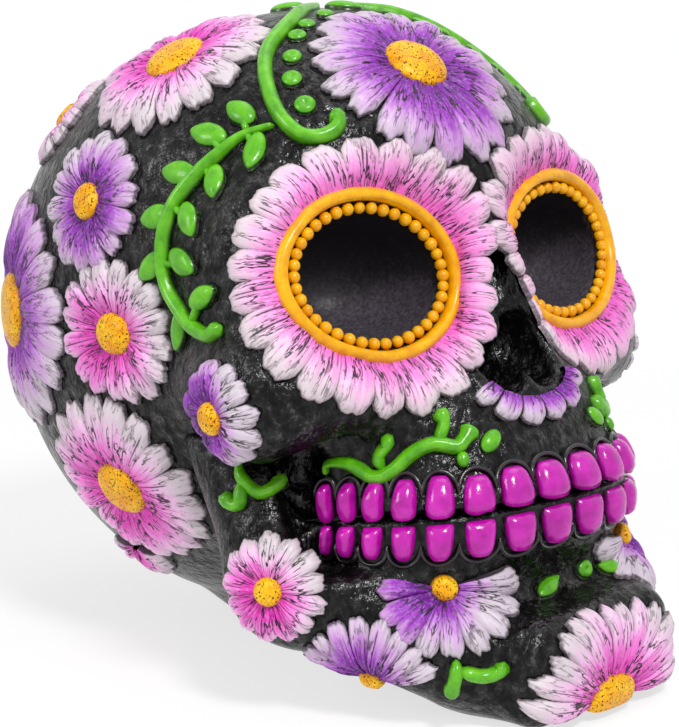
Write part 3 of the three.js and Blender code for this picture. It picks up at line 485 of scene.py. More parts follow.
def creases(u, v):
    """How deep the grooves along a petal are, from 0 to 1."""
    groove = np.zeros(u.shape)
    count = rng.integers(*CREASES)
    for n in range(count):
        place = CREASE_SPREAD * (2 * (n + 0.5) / count - 1) + spread(CREASE_SHIFT)
        width = rng.uniform(*CREASE_WIDTH)
        start = rng.uniform(*CREASE_START)
        end = rng.choice(CREASE_ENDS) + spread(CREASE_END_SHIFT)
        bend = spread(CREASE_BEND)
        length = smooth(start, start + 0.15, u) * (1 - smooth(end - 0.25, end, u))
        mark = np.exp(-(((v - place - bend * u) / width) ** 2)) * length * rng.uniform(*CREASE_STRENGTH)
        groove = np.maximum(groove, mark)
    return groove


def petal(piece, sheet, middle, half, near, far, lift, tone, blunt=0.2):
    """One petal: a puffy blunt wedge with creases along it, its edges sunk into the skin."""
    v = np.sin(np.linspace(-1, 1, PETAL_COLUMNS) * COLUMN_CROWDING) / sin(COLUMN_CROWDING)
    u, v = crossed(np.append(np.linspace(0, 1, PETAL_ROWS), 1.0), [-1.0, *v, 1.0])
    # The outline: a leaning round tip with a rippled edge.
    lean = spread(PETAL_LEAN)
    side = np.clip(v + lean * (1 - v * v), -1, 1)
    ripple = 0.025 * np.sin(v * rng.uniform(5, 9) + rng.uniform(0, 6))
    ripple = (ripple + 0.012 * np.sin(v * 17 + rng.uniform(0, 6))) * (1 - np.abs(v) ** 4)
    tip = far * (1 - blunt * np.abs(side) ** 2.6 + ripple) * (1 + rng.uniform(*TIP_CHANGE))
    share = near + (np.minimum(tip, 1.0) - near) * u
    turn = middle + half * v * (1.0 - 0.07 * smooth(0.5, 1.0, u)) + half * lean * 0.35 * u * u
    # The height: fullest along the middle, lower at the root and at the tip.
    puff = (1 - np.abs(v) ** 3.2) ** 0.55
    rise = 0.5 + 0.5 * smooth(0, 0.4, u) - 0.3 * smooth(0.6, 1.0, u) ** 1.5
    groove = creases(u, v)
    height = lift * rise * (0.25 + 0.75 * puff) - CREASE_DEPTH * groove
    height *= 1 - 0.6 * smooth(0.84, 1.0, u) ** 1.5
    height[-1, :] = -PETAL_SINK
    height[:, [0, -1]] = -PETAL_SINK
    places, normals = sheet.at(turn, share)
    values = {
        "along": u,
        "groove": groove,
        "edge": np.maximum(np.abs(v) ** 9, smooth(0.9, 1, u) * 0.62),
        "tone": tone,
        "across_mm": np.linalg.norm(places[:, 1:2] - places[:, -2:-1], axis=-1) * v / 2,
        "along_mm": np.linalg.norm(places[-1:] - places[:1], axis=-1) * u,
        "seed": rng.uniform(0, 50),
    }
    piece.grid(places, normals, height, values)
    outlines.extend([places[-1], places[::3, 0], places[::3, -1]])


def ring_radii(count):
    """Radii from the middle to the edge, closer together near the edge, and the edge once more to be sunk."""
    return np.append(np.sin(np.linspace(PINHOLE, 1, count) * pi / 2), 1.0)


def dome(piece, sheet, share, whole):
    """The raised middle of a flower, all the way round or as far as its fan goes."""
    turns = np.linspace(0, 1, DOME_COLUMNS, endpoint=not whole)
    r, turn = crossed(ring_radii(DOME_RINGS), turns)
    up = DOME_HEIGHT * (1 - r**5) ** 0.6 * (1 - 0.1 * r**2)
    up[-1] = -PETAL_SINK
    places, normals = sheet.at(turn, r * share)
    centre = normals[:1].mean(1, keepdims=True)
    normals = unit(normals * 0.6 + centre * 0.4)
    values = {"along": r, "edge": smooth(0.8, 1.0, r)}
    piece.grid(places, normals, up, values, kind=1, wrap=whole)


# Painted surfaces. Colours are given as 8-bit values.
def linear(rgb):
    return (*(((c / 255 + 0.055) / 1.055) ** 2.4 if c > 10 else c / 255 / 12.92 for c in rgb), 1.0)


class Value:
    """A socket to reckon with: each sum, product or step adds a node."""

    def __init__(self, nodes, socket):
        self.nodes = nodes
        self.socket = socket

    def math(self, operation, other=0.0):
        return self.nodes.add("ShaderNodeMath", {"operation": operation}, i0=self, i1=other)

    def __add__(self, other):
        return self.math("ADD", other)

    def __sub__(self, other):
        return self.math("SUBTRACT", other)

    def __mul__(self, other):
        return self.math("MULTIPLY", other)

    def most(self, other):
        return self.math("MAXIMUM", other)

    def veins(self):
        """Zero along winding lines, where a noise crosses its middle."""
        return (self - 0.5).math("ABSOLUTE")

    def band(self, low, high, to_low=0.0, to_high=1.0):
            return self.nodes.add("ShaderNodeMapRange", {"interpolation_type": "SMOOTHSTEP"},
                              i0=self, i1=low, i2=high, i3=to_low, i4=to_high)


class Nodes:
    def __init__(self, tree):
        self.tree = tree

    def add(self, kind, settings=None, output=0, **inputs):
        """A new node's output. An input is called by its name, or by the letter i and its number."""
        made = self.tree.nodes.new(kind)
        for key, value in (settings or {}).items():
            setattr(made, key, value)
        for key, value in inputs.items():
            self.put(made.inputs[int(key[1:]) if key[1:].isdigit() else key], value)
        return Value(self, made.outputs[output])

    def put(self, socket, value):
        if isinstance(value, Value):
            self.tree.links.new(value.socket, socket)
        else:
            socket.default_value = value


class Paint(Nodes):
    """A material, with the noises and painted values that colour it."""

    def __init__(self, name):
        self.material = bpy.data.materials.new(name)
        self.material.use_nodes = True
        super().__init__(self.material.node_tree)
        self.shader = self.tree.nodes["Principled BSDF"]
        self.place = self.add("ShaderNodeTexCoord", output="Object")

    def value(self, name):
        return self.add("ShaderNodeAttribute", {"attribute_name": name}, "Fac")

    def noise(self, scale, detail, rough=0.55, place=None):
        return self.add("ShaderNodeTexNoise", None, "Fac", Vector=place or self.place, Scale=scale,
                        Detail=detail, Roughness=rough)

    def ramp(self, x, *stops):
        made = self.tree.nodes.new("ShaderNodeValToRGB")
        self.put(made.inputs[0], x)
        marks = made.color_ramp.elements
        for n, (place, colour) in enumerate(stops):
            mark = marks[n] if n < 2 else marks.new(place)
            mark.position, mark.color = place, linear(colour)
        return Value(self, made.outputs[0])

    def mix(self, amount, *colours):
        a, b = [linear(c) if isinstance(c, tuple) else c for c in colours]
        return self.add("ShaderNodeMix", {"data_type": "RGBA"}, 2, i0=amount, i6=a, i7=b)

    def bump(self, height, strength, distance):
        normal = self.add("ShaderNodeBump", Height=height, Strength=strength, Distance=distance)
        self.put(self.shader.inputs["Normal"], normal)

    def finish(self, colour, roughness, shine, coat=0.0):
        looks = {"Base Color": colour, "Roughness": roughness, "Specular IOR Level": shine}
        if coat:
            looks.update({"Coat Weight": coat, "Coat Roughness": COAT_ROUGHNESS})
        for name, look in looks.items():
            self.put(self.shader.inputs[name], look)
        return self.material


# A bump is its strength and its distance in metres. The sockets get a painted sheen below a level and painted
# shade above one.
COAT_ROUGHNESS = 0.15
BLACK = (20, 16, 19)
PETAL_BUMP = (0.5, 0.0007)
GRAIN_STRETCH = 0.16
CRACK_WIDTH = (0.016, 0.034)
DOME_BUMP = (0.8, 0.0006)
RESIN_BUMP = (0.65, 0.0012)
GLOSS_BUMP = (0.2, 0.0007)
SOCKET_SHEEN_BELOW = 0.08
SOCKET_SHADE_ABOVE = 0.098


def petal_paint(name, heart, body, pale, tip):
    """Strong colour at the root, fading to a dry-brushed pale tip, with black left in the cracks."""
    paint = Paint(name)
    along = paint.value("along")
    grain = paint.add("ShaderNodeCombineXYZ", X=paint.value("across_mm"), Z=paint.value("seed"),
                      Y=paint.value("along_mm") * GRAIN_STRETCH)
    patch = paint.noise(260, 4)
    speck = paint.noise(1500, 2)
    streak = paint.noise(1.5, 3, 0.6, grain)
    fade = along + paint.value("tone") * 0.5 + (streak - 0.5) * 0.55 + (patch - 0.5) * 0.3
    colour = paint.ramp(fade, (0.06, heart), (0.4, body), (0.68, pale), (0.95, tip))
    crack = paint.noise(0.72, 3, 0.62, grain).veins().band(*CRACK_WIDTH, 1.0, 0.0)
    crack = crack * patch.band(0.4, 0.54) * along.band(0.45, 0.95, 1.0, 0.45)
    colour = paint.mix(speck.band(0.5, 0.68) * 0.22, colour, tip)
    dark = paint.value("groove").most(paint.value("edge")) + (speck - 0.5) * 0.35
    colour = paint.mix(dark.band(0.3, 0.75, 0.0, 0.92).most(crack * 0.97), colour, BLACK)
    paint.bump(streak * 0.6 + speck * 0.25 - crack * 0.5, *PETAL_BUMP)
    return paint.finish(colour, patch.band(0.3, 0.7, 0.34, 0.5), 0.35)


def dome_paint():
    """Yellow with dark pits and a dark edge."""
    paint = Paint("yellow_dome")
    patch = paint.noise(300, 3)
    pits = paint.add("ShaderNodeTexVoronoi", None, "Distance", Vector=paint.place, Scale=1000)
    raised = pits.band(0.1, 0.26) * paint.noise(1000, 1).veins().band(0.003, 0.016)
    colour = paint.ramp(patch, (0.35, (240, 158, 10)), (0.68, (255, 200, 32)))
    colour = paint.mix(paint.value("edge").band(0.45, 1.0, 0.0, 0.7), colour, (150, 78, 10))
    colour = paint.mix(raised, (96, 54, 10), colour)
    paint.bump(raised, *DOME_BUMP)
    return paint.finish(colour, patch.band(0.3, 0.7, 0.32, 0.46), 0.25)


def resin_paint():
    """Black satin resin, hammered and brushed with a little grey, with painted shade round everything raised
    and in the furrows.

    The sockets are smoother and duller, with a painted sheen in their lower half and painted shade in their
    upper part.
    """
    paint = Paint("charcoal_resin")
    strokes = paint.add("ShaderNodeMapping", Vector=paint.place, Scale=(1.0, 1.0, 0.75))
    brush = paint.noise(460, 3, 0.6, strokes)
    fine = paint.noise(1300, 2)
    dents = paint.noise(300, 2, 0.5)
    cavity = paint.value("cavity")
    mixed = paint.noise(40, 4) * 0.5 + brush * 0.5
    colour = paint.ramp(mixed, (0.4, (7, 6, 6)), (0.54, (12, 11, 11)), (0.7, (30, 27, 27)))
    colour = paint.mix((brush * fine).band(0.28, 0.4) * 0.16, colour, (150, 146, 148))
    # Painted shade: near black round the edges of the ornament and in the furrows by the ramus, under the
    # cheekbone and in the nose.
    colour = paint.mix(paint.value("painted_shade") * 0.9, colour, (6, 5, 6))
    level = paint.add("ShaderNodeSeparateXYZ", None, "Z", Vector=paint.place)
    # Painted sheen and shade in the sockets: grey below one level, near black above another.
    lit = level.band(SOCKET_SHEEN_BELOW, SOCKET_SHADE_ABOVE, 1.0, 0.0) * fine.band(0.3, 0.7, 0.45, 1.0)
    colour = paint.mix(cavity * 0.95, colour, paint.mix(lit, (20, 17, 21), (94, 87, 97)))
    relief = (brush * 0.7 + dents * 0.9) * cavity.band(0.0, 1.0, 1.0, 0.2)
    paint.bump(relief + fine * 0.1, *RESIN_BUMP)
    shine = brush.band(0.36, 0.66, 0.15, 0.34).most(cavity * 0.4)
    rough = dents.band(0.3, 0.7, 0.16, 0.28).most(cavity * 0.46)
    return paint.finish(colour, rough, shine)


def gloss_paint(name, dark, body, light, rough, coat):
    """A glossy colour in soft patches, worn black at its edges."""
    paint = Paint(name)
    patch = paint.noise(330, 4)
    fine = paint.noise(1300, 2)
    colour = paint.ramp(patch, (0.33, dark), (0.5, body), (0.72, light))
    worn = paint.value("edge").band(0.45, 1.0) * fine.band(0.3, 0.6, 0.75, 1.0)
    colour = paint.mix(worn, colour, BLACK)
    paint.bump(patch + fine * 0.2, *GLOSS_BUMP)
    return paint.finish(colour, fine.band(0.3, 0.7, rough, rough + 0.12), 0.32, coat)


PINK = petal_paint("pink_petals", (222, 58, 182), (240, 128, 214), (238, 190, 228), (212, 199, 207))
EYE_PINK = petal_paint("eye_petals", (234, 96, 200), (242, 142, 218), (240, 186, 224), (222, 206, 214))
PURPLE = petal_paint("purple_petals", (116, 20, 150), (160, 62, 190), (204, 152, 214), (206, 193, 206))
DOME = dome_paint()
RESIN = resin_paint()
GREEN = gloss_paint("green_vines", (72, 150, 10), (90, 174, 16), (112, 192, 34), 0.22, 0.2)
YELLOW = gloss_paint("yellow_rim", (228, 152, 0), (240, 172, 2), (250, 190, 14), 0.24, 0.12)
RIDGE = gloss_paint("gum_ridges", (14, 12, 14), (20, 18, 20), (44, 42, 44), 0.16, 0.4)
MAGENTA = gloss_paint("magenta_teeth", (166, 10, 144), (188, 16, 164), (204, 36, 180), 0.12, 0.3)


# Flowers. Places are given on the skull's right, and side -1 mirrors them.
SIDES = (("right", 1), ("left", -1))
SHEET_COLUMNS = 120
SHEET_STEPS = 22
BUD_COLUMNS = 60
PETAL_LIFTS = (2.35, 1.85)
PETAL_OVERLAP = 0.58
PETAL_TONES = 0.22


def mirrored(point, side):
    return np.array([point[0] * side, point[1], point[2]], float)


def tangents(place):
    """Up and right along the skin at a place, or backward and right where the skin lies flat."""
    n = normal_on(place[None])[0]
    pole = BACKWARD if abs(n[2]) > 0.9 else UPWARD
    up = unit(pole - n * (pole @ n))
    return up, np.cross(up, n)


def round_sheet(middle, reaches, angles, wrap):
    """A round sheet of skin about a point, or the part of one between two angles."""
    up, right = tangents(middle)
    headings = turned(angles, up, right)
    starts = np.repeat(middle[None], len(angles), 0)
    return Drape(starts, headings, reaches, SHEET_STEPS, wrap)


def flower(name, at, radius, petals, colour, side=1, fan=1.0, aim=0.0, pale=(0, 0, 0), heart=0.3, bud="part",
           wide=0.0, long=(0, 0, 0)):
    """A daisy, or the part of one that a fan leaves, draped round a point of the skin.

    Petals grow paler towards the direction pale, longer towards the direction long, and longer by a share
    wide to both sides. The bud is whole, only a part as the fan is, or missing.
    """
    middle = settle(mirrored(at, side)[None])[0]
    up, right = tangents(middle)
    whole = fan == 1

    def angle_at(turn):
        return radians(aim) + (turn - 0.5) * FULL_TURN * fan

    angles = angle_at(np.linspace(0, 1, SHEET_COLUMNS, endpoint=not whole))
    longer = mirrored(long, side)
    stretch = np.cos(angles) * (up @ longer) + np.sin(angles) * (right @ longer)
    reaches = radius * (1 + wide * np.sin(angles) ** 2 + np.maximum(0, stretch))
    sheet = round_sheet(middle, reaches, angles, whole)
    piece = Piece()
    first = rng.uniform(0, 1 / petals) if whole else 0.0
    for n in range(petals):
        place = first + (n + 0.5) / petals + spread(0.06) / petals
        facing = turned(angle_at(place), up, right)
        tone = spread(PETAL_TONES) + facing @ mirrored(pale, side)
        lift = PETAL_LIFTS[n % 2] * rng.uniform(*LIFT_CHANGE)
        petal(piece, sheet, place, PETAL_OVERLAP / petals, heart * 0.85, 1.0, lift, tone)
    if bud == "whole":
        angles = circle(BUD_COLUMNS)
        reaches = np.full(BUD_COLUMNS, radius * heart)
        dome(piece, round_sheet(middle, reaches, angles, True), 1.0, True)
    elif bud == "part":
        dome(piece, sheet, heart, whole)
    piece.make(name, "pink_paint" if colour is PINK else "purple_paint", colour, DOME)


def pair(name, *form, **more):
    for word, side in SIDES:
        flower(f"{name}_{word}", *form, side=side, **more)


# Each flower's name, place, radius, number of petals and colour.
flower("forehead_flower", (-7, -29.2, 133.3), 23.8, 18, PURPLE, pale=(0.1, 0, 0.35), heart=0.29,
       long=(0.1, -0.12, 0))
flower("chin_flower", (0, -80, 2.5), 22, 13, PINK, fan=0.5, pale=(-0.1, 0, 0.1), wide=0.22)
flower("back_flower", (0, 78, 66), 20, 16, PINK)
pair("crown_flower", (-37, 13, 134), 22, 16, PINK, pale=(0, -0.25, -0.4), heart=0.33)
pair("rear_crown_flower", (-37, 49, 119), 13.2, 13, PINK)
pair("temple_flower", (-56, 19.4, 104), 15.8, 14, PURPLE, pale=(0, 0.4, 0.1), heart=0.27)
pair("side_flower", (-58, 9, 77), 15.8, 16, PINK, pale=(0, -0.35, 0.3), wide=0.18)
pair("rear_flower", (-50.8, 53.5, 76.3), 28, 18, PURPLE, pale=(0, 0, -0.4), heart=0.33)
pair("ear_flower", (-50, 17, 41), 23.2, 17, PINK, pale=(0, -0.2, 0.3))
pair("cheek_flower", (-63, -28, 65), 11.8, 11, PURPLE, pale=(0.3, -0.95, 0.1))
pair("jaw_angle_flower", (-55, -35, 29), 12.4, 13, PINK, pale=(0.3, -0.2, 0.5), heart=0.25)
pair("nape_flower", (-34, 30, 24), 11.2, 8, PINK, fan=0.5, aim=180, bud="none", heart=0.1)
pair("jaw_flower", (-38, -48, 9.4), 16.4, 10, PURPLE, fan=0.5, pale=(0.3, -0.3, 0.3), heart=0.2)
pair("chin_side_flower", (-29, -59, 29), 14.6, 9, PURPLE, fan=0.58, aim=180, pale=(0.6, -0.4, -0.3),
     bud="whole", heart=0.2, long=(0.15, -0.15, 0))


# Eyes.
RIM_INNER = 1.5
RIM_OUTER = 4.6
RIM_HEIGHT = 2.3
RIM_COLUMNS = 128
BEADS = 38
BEAD_RADIUS = 1.32
BEAD_OUT = 0.15
BEAD_UP = 0.35
EYE_PETALS = 23
EYE_PETAL_LENGTH = 10
EYE_PETAL_LIFTS = (2.3, 1.9)
EYE_PETAL_OVERLAP = 0.56
EYE_PETAL_TUCK = 0.3
EYE_PETAL_AHEAD = 4.3
EYE_PETAL_TIPS = (0.92, 1.0)
EYE_PETAL_BLUNT = 0.28
NEAR_TONE = 0.06
NEAR_TONE_SPREAD = 0.15
OUTER_PALENESS = 0.24
FAR_TONES = (-0.25, 0.05)
EYE_COLUMNS = 220
EYE_STEPS = 14
NASAL_SHORTENING = 0.15
LOWER_LENGTHENING = 0.3
# By side, the degrees round the eye near which petals reach farther, and how far. The far eye differs.
EYE_PETAL_REACH = {1: [(135, 5.0)], -1: [(138, 10.0), (208, -4.5)]}
REACH_WIDTH = radians(30)
CAST_FROM = 28
CAST_STEPS = 40
CAST_SHARE = 0.9


def eye_points(angles, beyond, side, field):
    """Places on a surface in line with the socket's edge, or beyond it, seen along the eye's axis."""
    across = np.cos(angles) * (SOCKET_HALF[0] + beyond)
    up = np.sin(angles) * (SOCKET_HALF[2] + beyond)
    p = np.array(EYE) + EYE_OUTWARD * CAST_FROM + across[..., None] * EYE_ACROSS + up[..., None] * EYE_UP
    turn = np.array([-side, -1.0, 1.0])
    p, inward = p * turn, -EYE_OUTWARD * turn
    for _ in range(CAST_STEPS):
        p = p + inward * (CAST_SHARE * field(p))[..., None]
    return p


def bead(piece, centre, normal, radius):
    a, b = crossed(np.linspace(0.05, pi * 0.75, 8), circle(12))
    x = unit(np.cross(normal, [0.31, 0.17, 0.94]))
    y = np.cross(normal, x)
    out = turned(a, normal, turned(b, x, y))
    piece.grid(centre, out, radius, {"edge": smooth(1.3, 2.2, a)}, wrap=True)


def eye_rim(word, side):
    """A half-round ring with a row of beads inside it."""
    piece = Piece()
    x, angles = crossed(np.linspace(-1, 1, 13), circle(RIM_COLUMNS))
    beyond = (RIM_INNER + RIM_OUTER) / 2 + x * (RIM_OUTER - RIM_INNER) / 2
    places = eye_points(angles, beyond, side, rim_seat)
    normals = normal_on(places, rim_seat)
    up = RIM_HEIGHT * np.sqrt(1 - x * x) - 0.4 * np.abs(x) ** 6
    piece.grid(places, normals, up, {"edge": np.abs(x) ** 9}, wrap=True)
    beads = eye_points(circle(BEADS), BEAD_OUT, side, rim_seat)
    for place, normal in zip(beads, normal_on(beads, rim_seat)):
        bead(piece, place + normal * BEAD_UP, normal, BEAD_RADIUS * rng.uniform(0.94, 1.06))
    piece.make(f"eye_rim_{word}", "yellow_paint", YELLOW)


def eye_petals(word, side):
    """The ring of petals round an eye. The near eye's are paler on the outer side."""
    angles = circle(EYE_COLUMNS)
    starts = eye_points(angles, RIM_OUTER - EYE_PETAL_TUCK, side, rim_seat)
    ahead = eye_points(angles, RIM_OUTER + EYE_PETAL_AHEAD, side, skin)
    shorter = NASAL_SHORTENING * np.maximum(0, -np.cos(angles))
    longer = LOWER_LENGTHENING * np.maximum(0, -np.sin(angles))
    reach = EYE_PETAL_LENGTH * (1 - shorter + longer)
    for turn, more in EYE_PETAL_REACH[side]:
        reach = reach + more * np.exp(-(((angles - radians(turn)) / REACH_WIDTH) ** 2))
    sheet = Drape(starts, unit(ahead - starts), reach, EYE_STEPS, wrap=True)
    piece = Piece()
    for n in range(EYE_PETALS):
        place = (n + 0.5) / EYE_PETALS
        if side > 0:
            tone = NEAR_TONE + OUTER_PALENESS * cos(place * FULL_TURN) + spread(NEAR_TONE_SPREAD)
        else:
            tone = rng.uniform(*FAR_TONES)
        lift = EYE_PETAL_LIFTS[n % 2] * rng.uniform(*LIFT_CHANGE)
        far = rng.uniform(*EYE_PETAL_TIPS)
        petal(piece, sheet, place, EYE_PETAL_OVERLAP / EYE_PETALS, 0.0, far, lift, tone, EYE_PETAL_BLUNT)
    piece.make(f"eye_petals_{word}", "pink_paint", EYE_PINK)


for word, side in SIDES:
    eye_rim(word, side)
    eye_petals(word, side)


# A fan of petals under the nose.
NOSE_PETALS = 6
NOSE_PETAL_LENGTH = 6.5
NOSE_PETAL_LIFT = 1.9
NOSE_PETAL_BLUNT = 0.3
NOSE_PETAL_TONES = (-0.1, 0.4)
NOSE_FAN = 75
NOSE_FAN_OUT = 0.4
NOSE_FAN_DROP = 2
NOSE_COLUMNS = 90
NOSE_STEPS = 10


def nose_petals():
    angles = np.radians(np.linspace(-NOSE_FAN, NOSE_FAN, NOSE_COLUMNS))
    out, zero = np.sin(angles), np.zeros(NOSE_COLUMNS)
    level = NOSE_LOBE_LEVEL - NOSE_FAN_DROP - NOSE_LOBE_HALF[2] * np.cos(angles)
    starts = settle(np.stack([out * (NOSE_HALF_WIDTH + NOSE_FAN_OUT), zero - NOSE_FORWARD, level], -1))
    headings = np.stack([out, zero, -np.cos(angles)], -1)
    sheet = Drape(starts, headings, zero + NOSE_PETAL_LENGTH, NOSE_STEPS, wrap=False)
    piece = Piece()
    half = 0.5 / NOSE_PETALS
    for n in range(NOSE_PETALS):
        tone = rng.uniform(*NOSE_PETAL_TONES)
        place = (n + 0.5) / NOSE_PETALS
        petal(piece, sheet, place, half, 0.0, 1.0, NOSE_PETAL_LIFT, tone, NOSE_PETAL_BLUNT)
    piece.make("nose_petals", "purple_paint", PURPLE)


nose_petals()


# Teeth.
TEETH_PER_SIDE = 8
FRONT_TOOTH_WIDTH = 10.8
TOOTH_NARROWING = 0.9
TOOTH_GAP = 0.8
TOOTH_RELIEF = 2.6
TOOTH_DROP = 1.1
TOOTH_SINK = 0.4
BACK_SHORTENING = 0.25
RIDGE_WIDTH = 1.2


def arch_point(turn):
    """Out and forward on the dental arch, at a turn from the middle."""
    depth = ARCH_FRONT - ARCH_CORNER
    s, f = np.sin(turn), np.cos(turn)
    power = (np.abs(s) / ARCH_HALF_WIDTH) ** ARCH_SQUARENESS + (f / depth) ** ARCH_SQUARENESS
    radius = power ** (-1 / ARCH_SQUARENESS)
    return s * radius, ARCH_CORNER + f * radius


def each_tooth():
    """Each tooth's hand, the turn of its middle, half the turn it takes up and its width."""
    fine = np.linspace(0, pi / 2, 2000)
    s, f = arch_point(fine)
    gone = np.concatenate([[0], np.cumsum(np.hypot(np.diff(s), np.diff(f)))])
    widths = FRONT_TOOTH_WIDTH * TOOTH_NARROWING ** np.arange(TEETH_PER_SIDE)
    turns = np.interp(np.concatenate([[0], np.cumsum(widths)]), gone, fine)
    for hand in (-1, 1):
        for start, end, width in zip(turns, turns[1:], widths):
            yield hand, (start + end) / 2, (end - start) / 2, width


def tooth_height(length, turn):
    return length * (1 - BACK_SHORTENING * (1 - np.cos(turn)))


def tooth_row(name, field, way, length, clear, taper):
    """One row of pillow-shaped teeth, rounded at the gum, which grow upwards if way is 1."""
    piece = Piece()
    b, a = crossed(np.linspace(0, 1, 15), np.linspace(-1, 1, 15))
    b = 0.5 - 0.5 * np.cos(b * pi)
    a = np.sin(a * pi / 2)
    outline = (1 - taper * b) * np.sqrt(1 - 0.72 * b**5) * (1 - 0.12 * (1 - b) ** 7)
    pillow = ((1 - np.abs(a) ** 2.8) * (1 - np.abs(2 * b - 1) ** 3.4)) ** 0.55
    up = TOOTH_RELIEF * pillow - TOOTH_SINK * (pillow < 0.02)
    values = {"edge": 1 - smooth(0.08, 0.4, pillow)}
    for hand, middle, half, width in each_tooth():
        turn = middle + half * (1 - 2 * TOOTH_GAP / width) * a * outline
        s, f = arch_point(turn)
        tall = tooth_height(length, turn) * rng.uniform(0.96, 1.04)
        z = bite_level(f) - TOOTH_DROP + way * (clear + b * (tall - clear))
        places = settle(np.stack([s * hand, -f, z], -1), field)
        piece.grid(places, normal_on(places, field), up, values)
        outlines.extend([places[-1], places[::2, 0], places[::2, -1], places[0]])
    piece.make(name, "magenta_paint", MAGENTA)


tooth_row("upper_teeth", cranium_skin, way=1, length=10.4, clear=-0.2, taper=0.06)
tooth_row("lower_teeth", lower_gum, way=-1, length=9.2, clear=0.8, taper=0.24)


# Vines.
PATH_STEP = 0.7
STEM_HEIGHT = 2.2
PAD_HEIGHT = 1.7
LEAF_LENGTH = 9.2
LEAF_WIDTH = 5.2
LEAF_STALK = 1.7


def path_over(points, side, field):
    """A smooth path over a field's surface through some points, and how far along it each place is."""
    p = np.array([mirrored(point, side) for point in points])
    p = np.concatenate([2 * p[:1] - p[1:2], p, 2 * p[-1:] - p[-2:-1]])
    t = np.linspace(0, 1, 24, endpoint=False)[:, None]
    run = []
    for a, b, c, d in zip(p, p[1:], p[2:], p[3:]):
        square, cube = 2 * a - 5 * b + 4 * c - d, 3 * b - a - 3 * c + d
        run.append(0.5 * (2 * b + (c - a) * t + square * t**2 + cube * t**3))
    run = np.concatenate(run + [p[-2:-1]])
    gone = np.concatenate([[0], np.cumsum(np.linalg.norm(np.diff(run, axis=0), axis=1))])
    even = np.linspace(0, gone[-1], max(4, int(gone[-1] / PATH_STEP)))
    return settle(np.stack([np.interp(even, gone, run[:, k]) for k in range(3)], -1), field), even


def stem(piece, points, side, width, curl=1.0, tip=0.45, field=skin):
    """A half-round stem, thin at its start and ending in a bulb of the given size."""
    places, gone = path_over(points, side, field)
    way = unit(np.gradient(places, axis=0))
    left = unit(np.cross(normal_on(places, field), way))
    whole = gone[-1]
    half = width / 2 * (tip + (1 - tip) * smooth(0, 0.3, gone / whole))
    half = half * (1 + (curl - 1) * smooth(whole - 3.2, whole - 0.9, gone))
    ends = np.sqrt(np.clip((whole - gone) / 1.3, 0, 1)) * np.sqrt(np.clip(gone / 0.8, 0.02, 1))
    half = np.maximum(half * ends, 0.08)
    x = np.linspace(-1, 1, 11)
    feet = settle(places[:, None] + left[:, None] * (half[:, None] * x)[..., None], field, turns=2)
    outward = normal_on(feet, field)
    up = np.minimum(half * 1.5, STEM_HEIGHT)[:, None] * np.sqrt(1 - x**2) - 0.35 * (np.abs(x) > 0.99)
    edge = np.broadcast_to(np.abs(x) ** 6, up.shape)
    piece.grid(feet, outward, up, {"edge": edge})
    outlines.extend([feet[::2, 0], feet[::2, -1]])
    return places, way


def pad(piece, centre, ahead, length, width, height=PAD_HEIGHT, point=0.0, pit=0.0):
    """A puffy leaf or a dot, laid on the skin."""
    centre = settle(np.asarray(centre, float)[None])[0]
    n = normal_on(centre[None])[0]
    ahead = unit(ahead - n * (n @ ahead))
    across = np.cross(n, ahead)
    r, t = crossed(ring_radii(10), circle(22))
    slim = 1 - point * np.clip(np.cos(t), 0, 1) ** 2
    flat = (np.cos(t) * length / 2)[..., None] * ahead + (np.sin(t) * slim * width / 2)[..., None] * across
    feet = settle(centre + flat * r[..., None], turns=3)
    outward = normal_on(feet)
    up = height * np.sqrt(np.clip(1 - r**2.6, 0, 1)) - 0.45 * (r > 0.999) - pit * np.exp(-((r / 0.3) ** 2))
    piece.grid(feet, outward, up, {"edge": smooth(0.8, 1.0, r)}, wrap=True)
    outlines.append(feet[-1])


def leaves_along(piece, places, ways, centres, side):
    """Stalked leaves, each pointing away from the nearest place of its stem and a little ahead."""
    for centre in centres:
        centre = mirrored(centre, side)
        near = np.argmin(np.linalg.norm(places - centre, axis=1))
        ahead = unit(centre - places[near]) + 0.55 * ways[near]
        stem(piece, [places[near], centre], 1, LEAF_STALK, tip=0.9)
        length = LEAF_LENGTH * rng.uniform(0.9, 1.08)
        pad(piece, centre, unit(ahead), length, LEAF_WIDTH * rng.uniform(0.92, 1.08), point=0.35)


TEMPLE_STEM = [(-40.3, -21.5, 121.5), (-45.1, -16.6, 119.1), (-49, -13.3, 114.8), (-52.2, -9.8, 109.7),
               (-54.5, -7, 104.3), (-55.8, -5.6, 98.6), (-56.5, -5.9, 92.4), (-56.4, -8.2, 87.4),
               (-55.9, -13.5, 83), (-55.6, -18.1, 80.6), (-55.4, -22.1, 79.6), (-55.3, -24.7, 82.4)]
TEMPLE_LEAVES = [(-42.7, -14.1, 123.7), (-47.7, -9.7, 119.3), (-44.9, -20.7, 116), (-52.5, -6, 111.5),
                 (-50.6, -15.9, 109.4), (-55.7, -2.3, 102.4), (-54.2, -12.9, 102.1), (-57, -2.3, 92.3),
                 (-56, -12.3, 94), (-56.1, -18.7, 87.5), (-55.9, -11.2, 79.8)]
BROW_STEM = [(-1.4, 5.4, 145.1), (-18.8, -4.1, 141.6), (-27.9, -7.7, 137.4), (-32.9, -10.9, 133.6),
             (-36.7, -15.8, 128.7), (-38.7, -21.5, 123.3), (-37.9, -26.6, 119.6), (-35.3, -29.7, 119.2),
             (-32.3, -31, 120.6), (-30.7, -30.3, 122.5), (-31.7, -28.6, 123.5)]
BROW_DOTS = [(-10.2, -5.7, 143.3), (-17.7, -7.8, 141.2), (-22.7, -10, 139), (-28.5, -14.5, 134.8),
             (-32.4, -18.5, 130.5), (-34.1, -24.1, 125.4)]
TOP_LEAVES = [(-6, 10.5, 145.5), (1, -0.1, 144.7)]
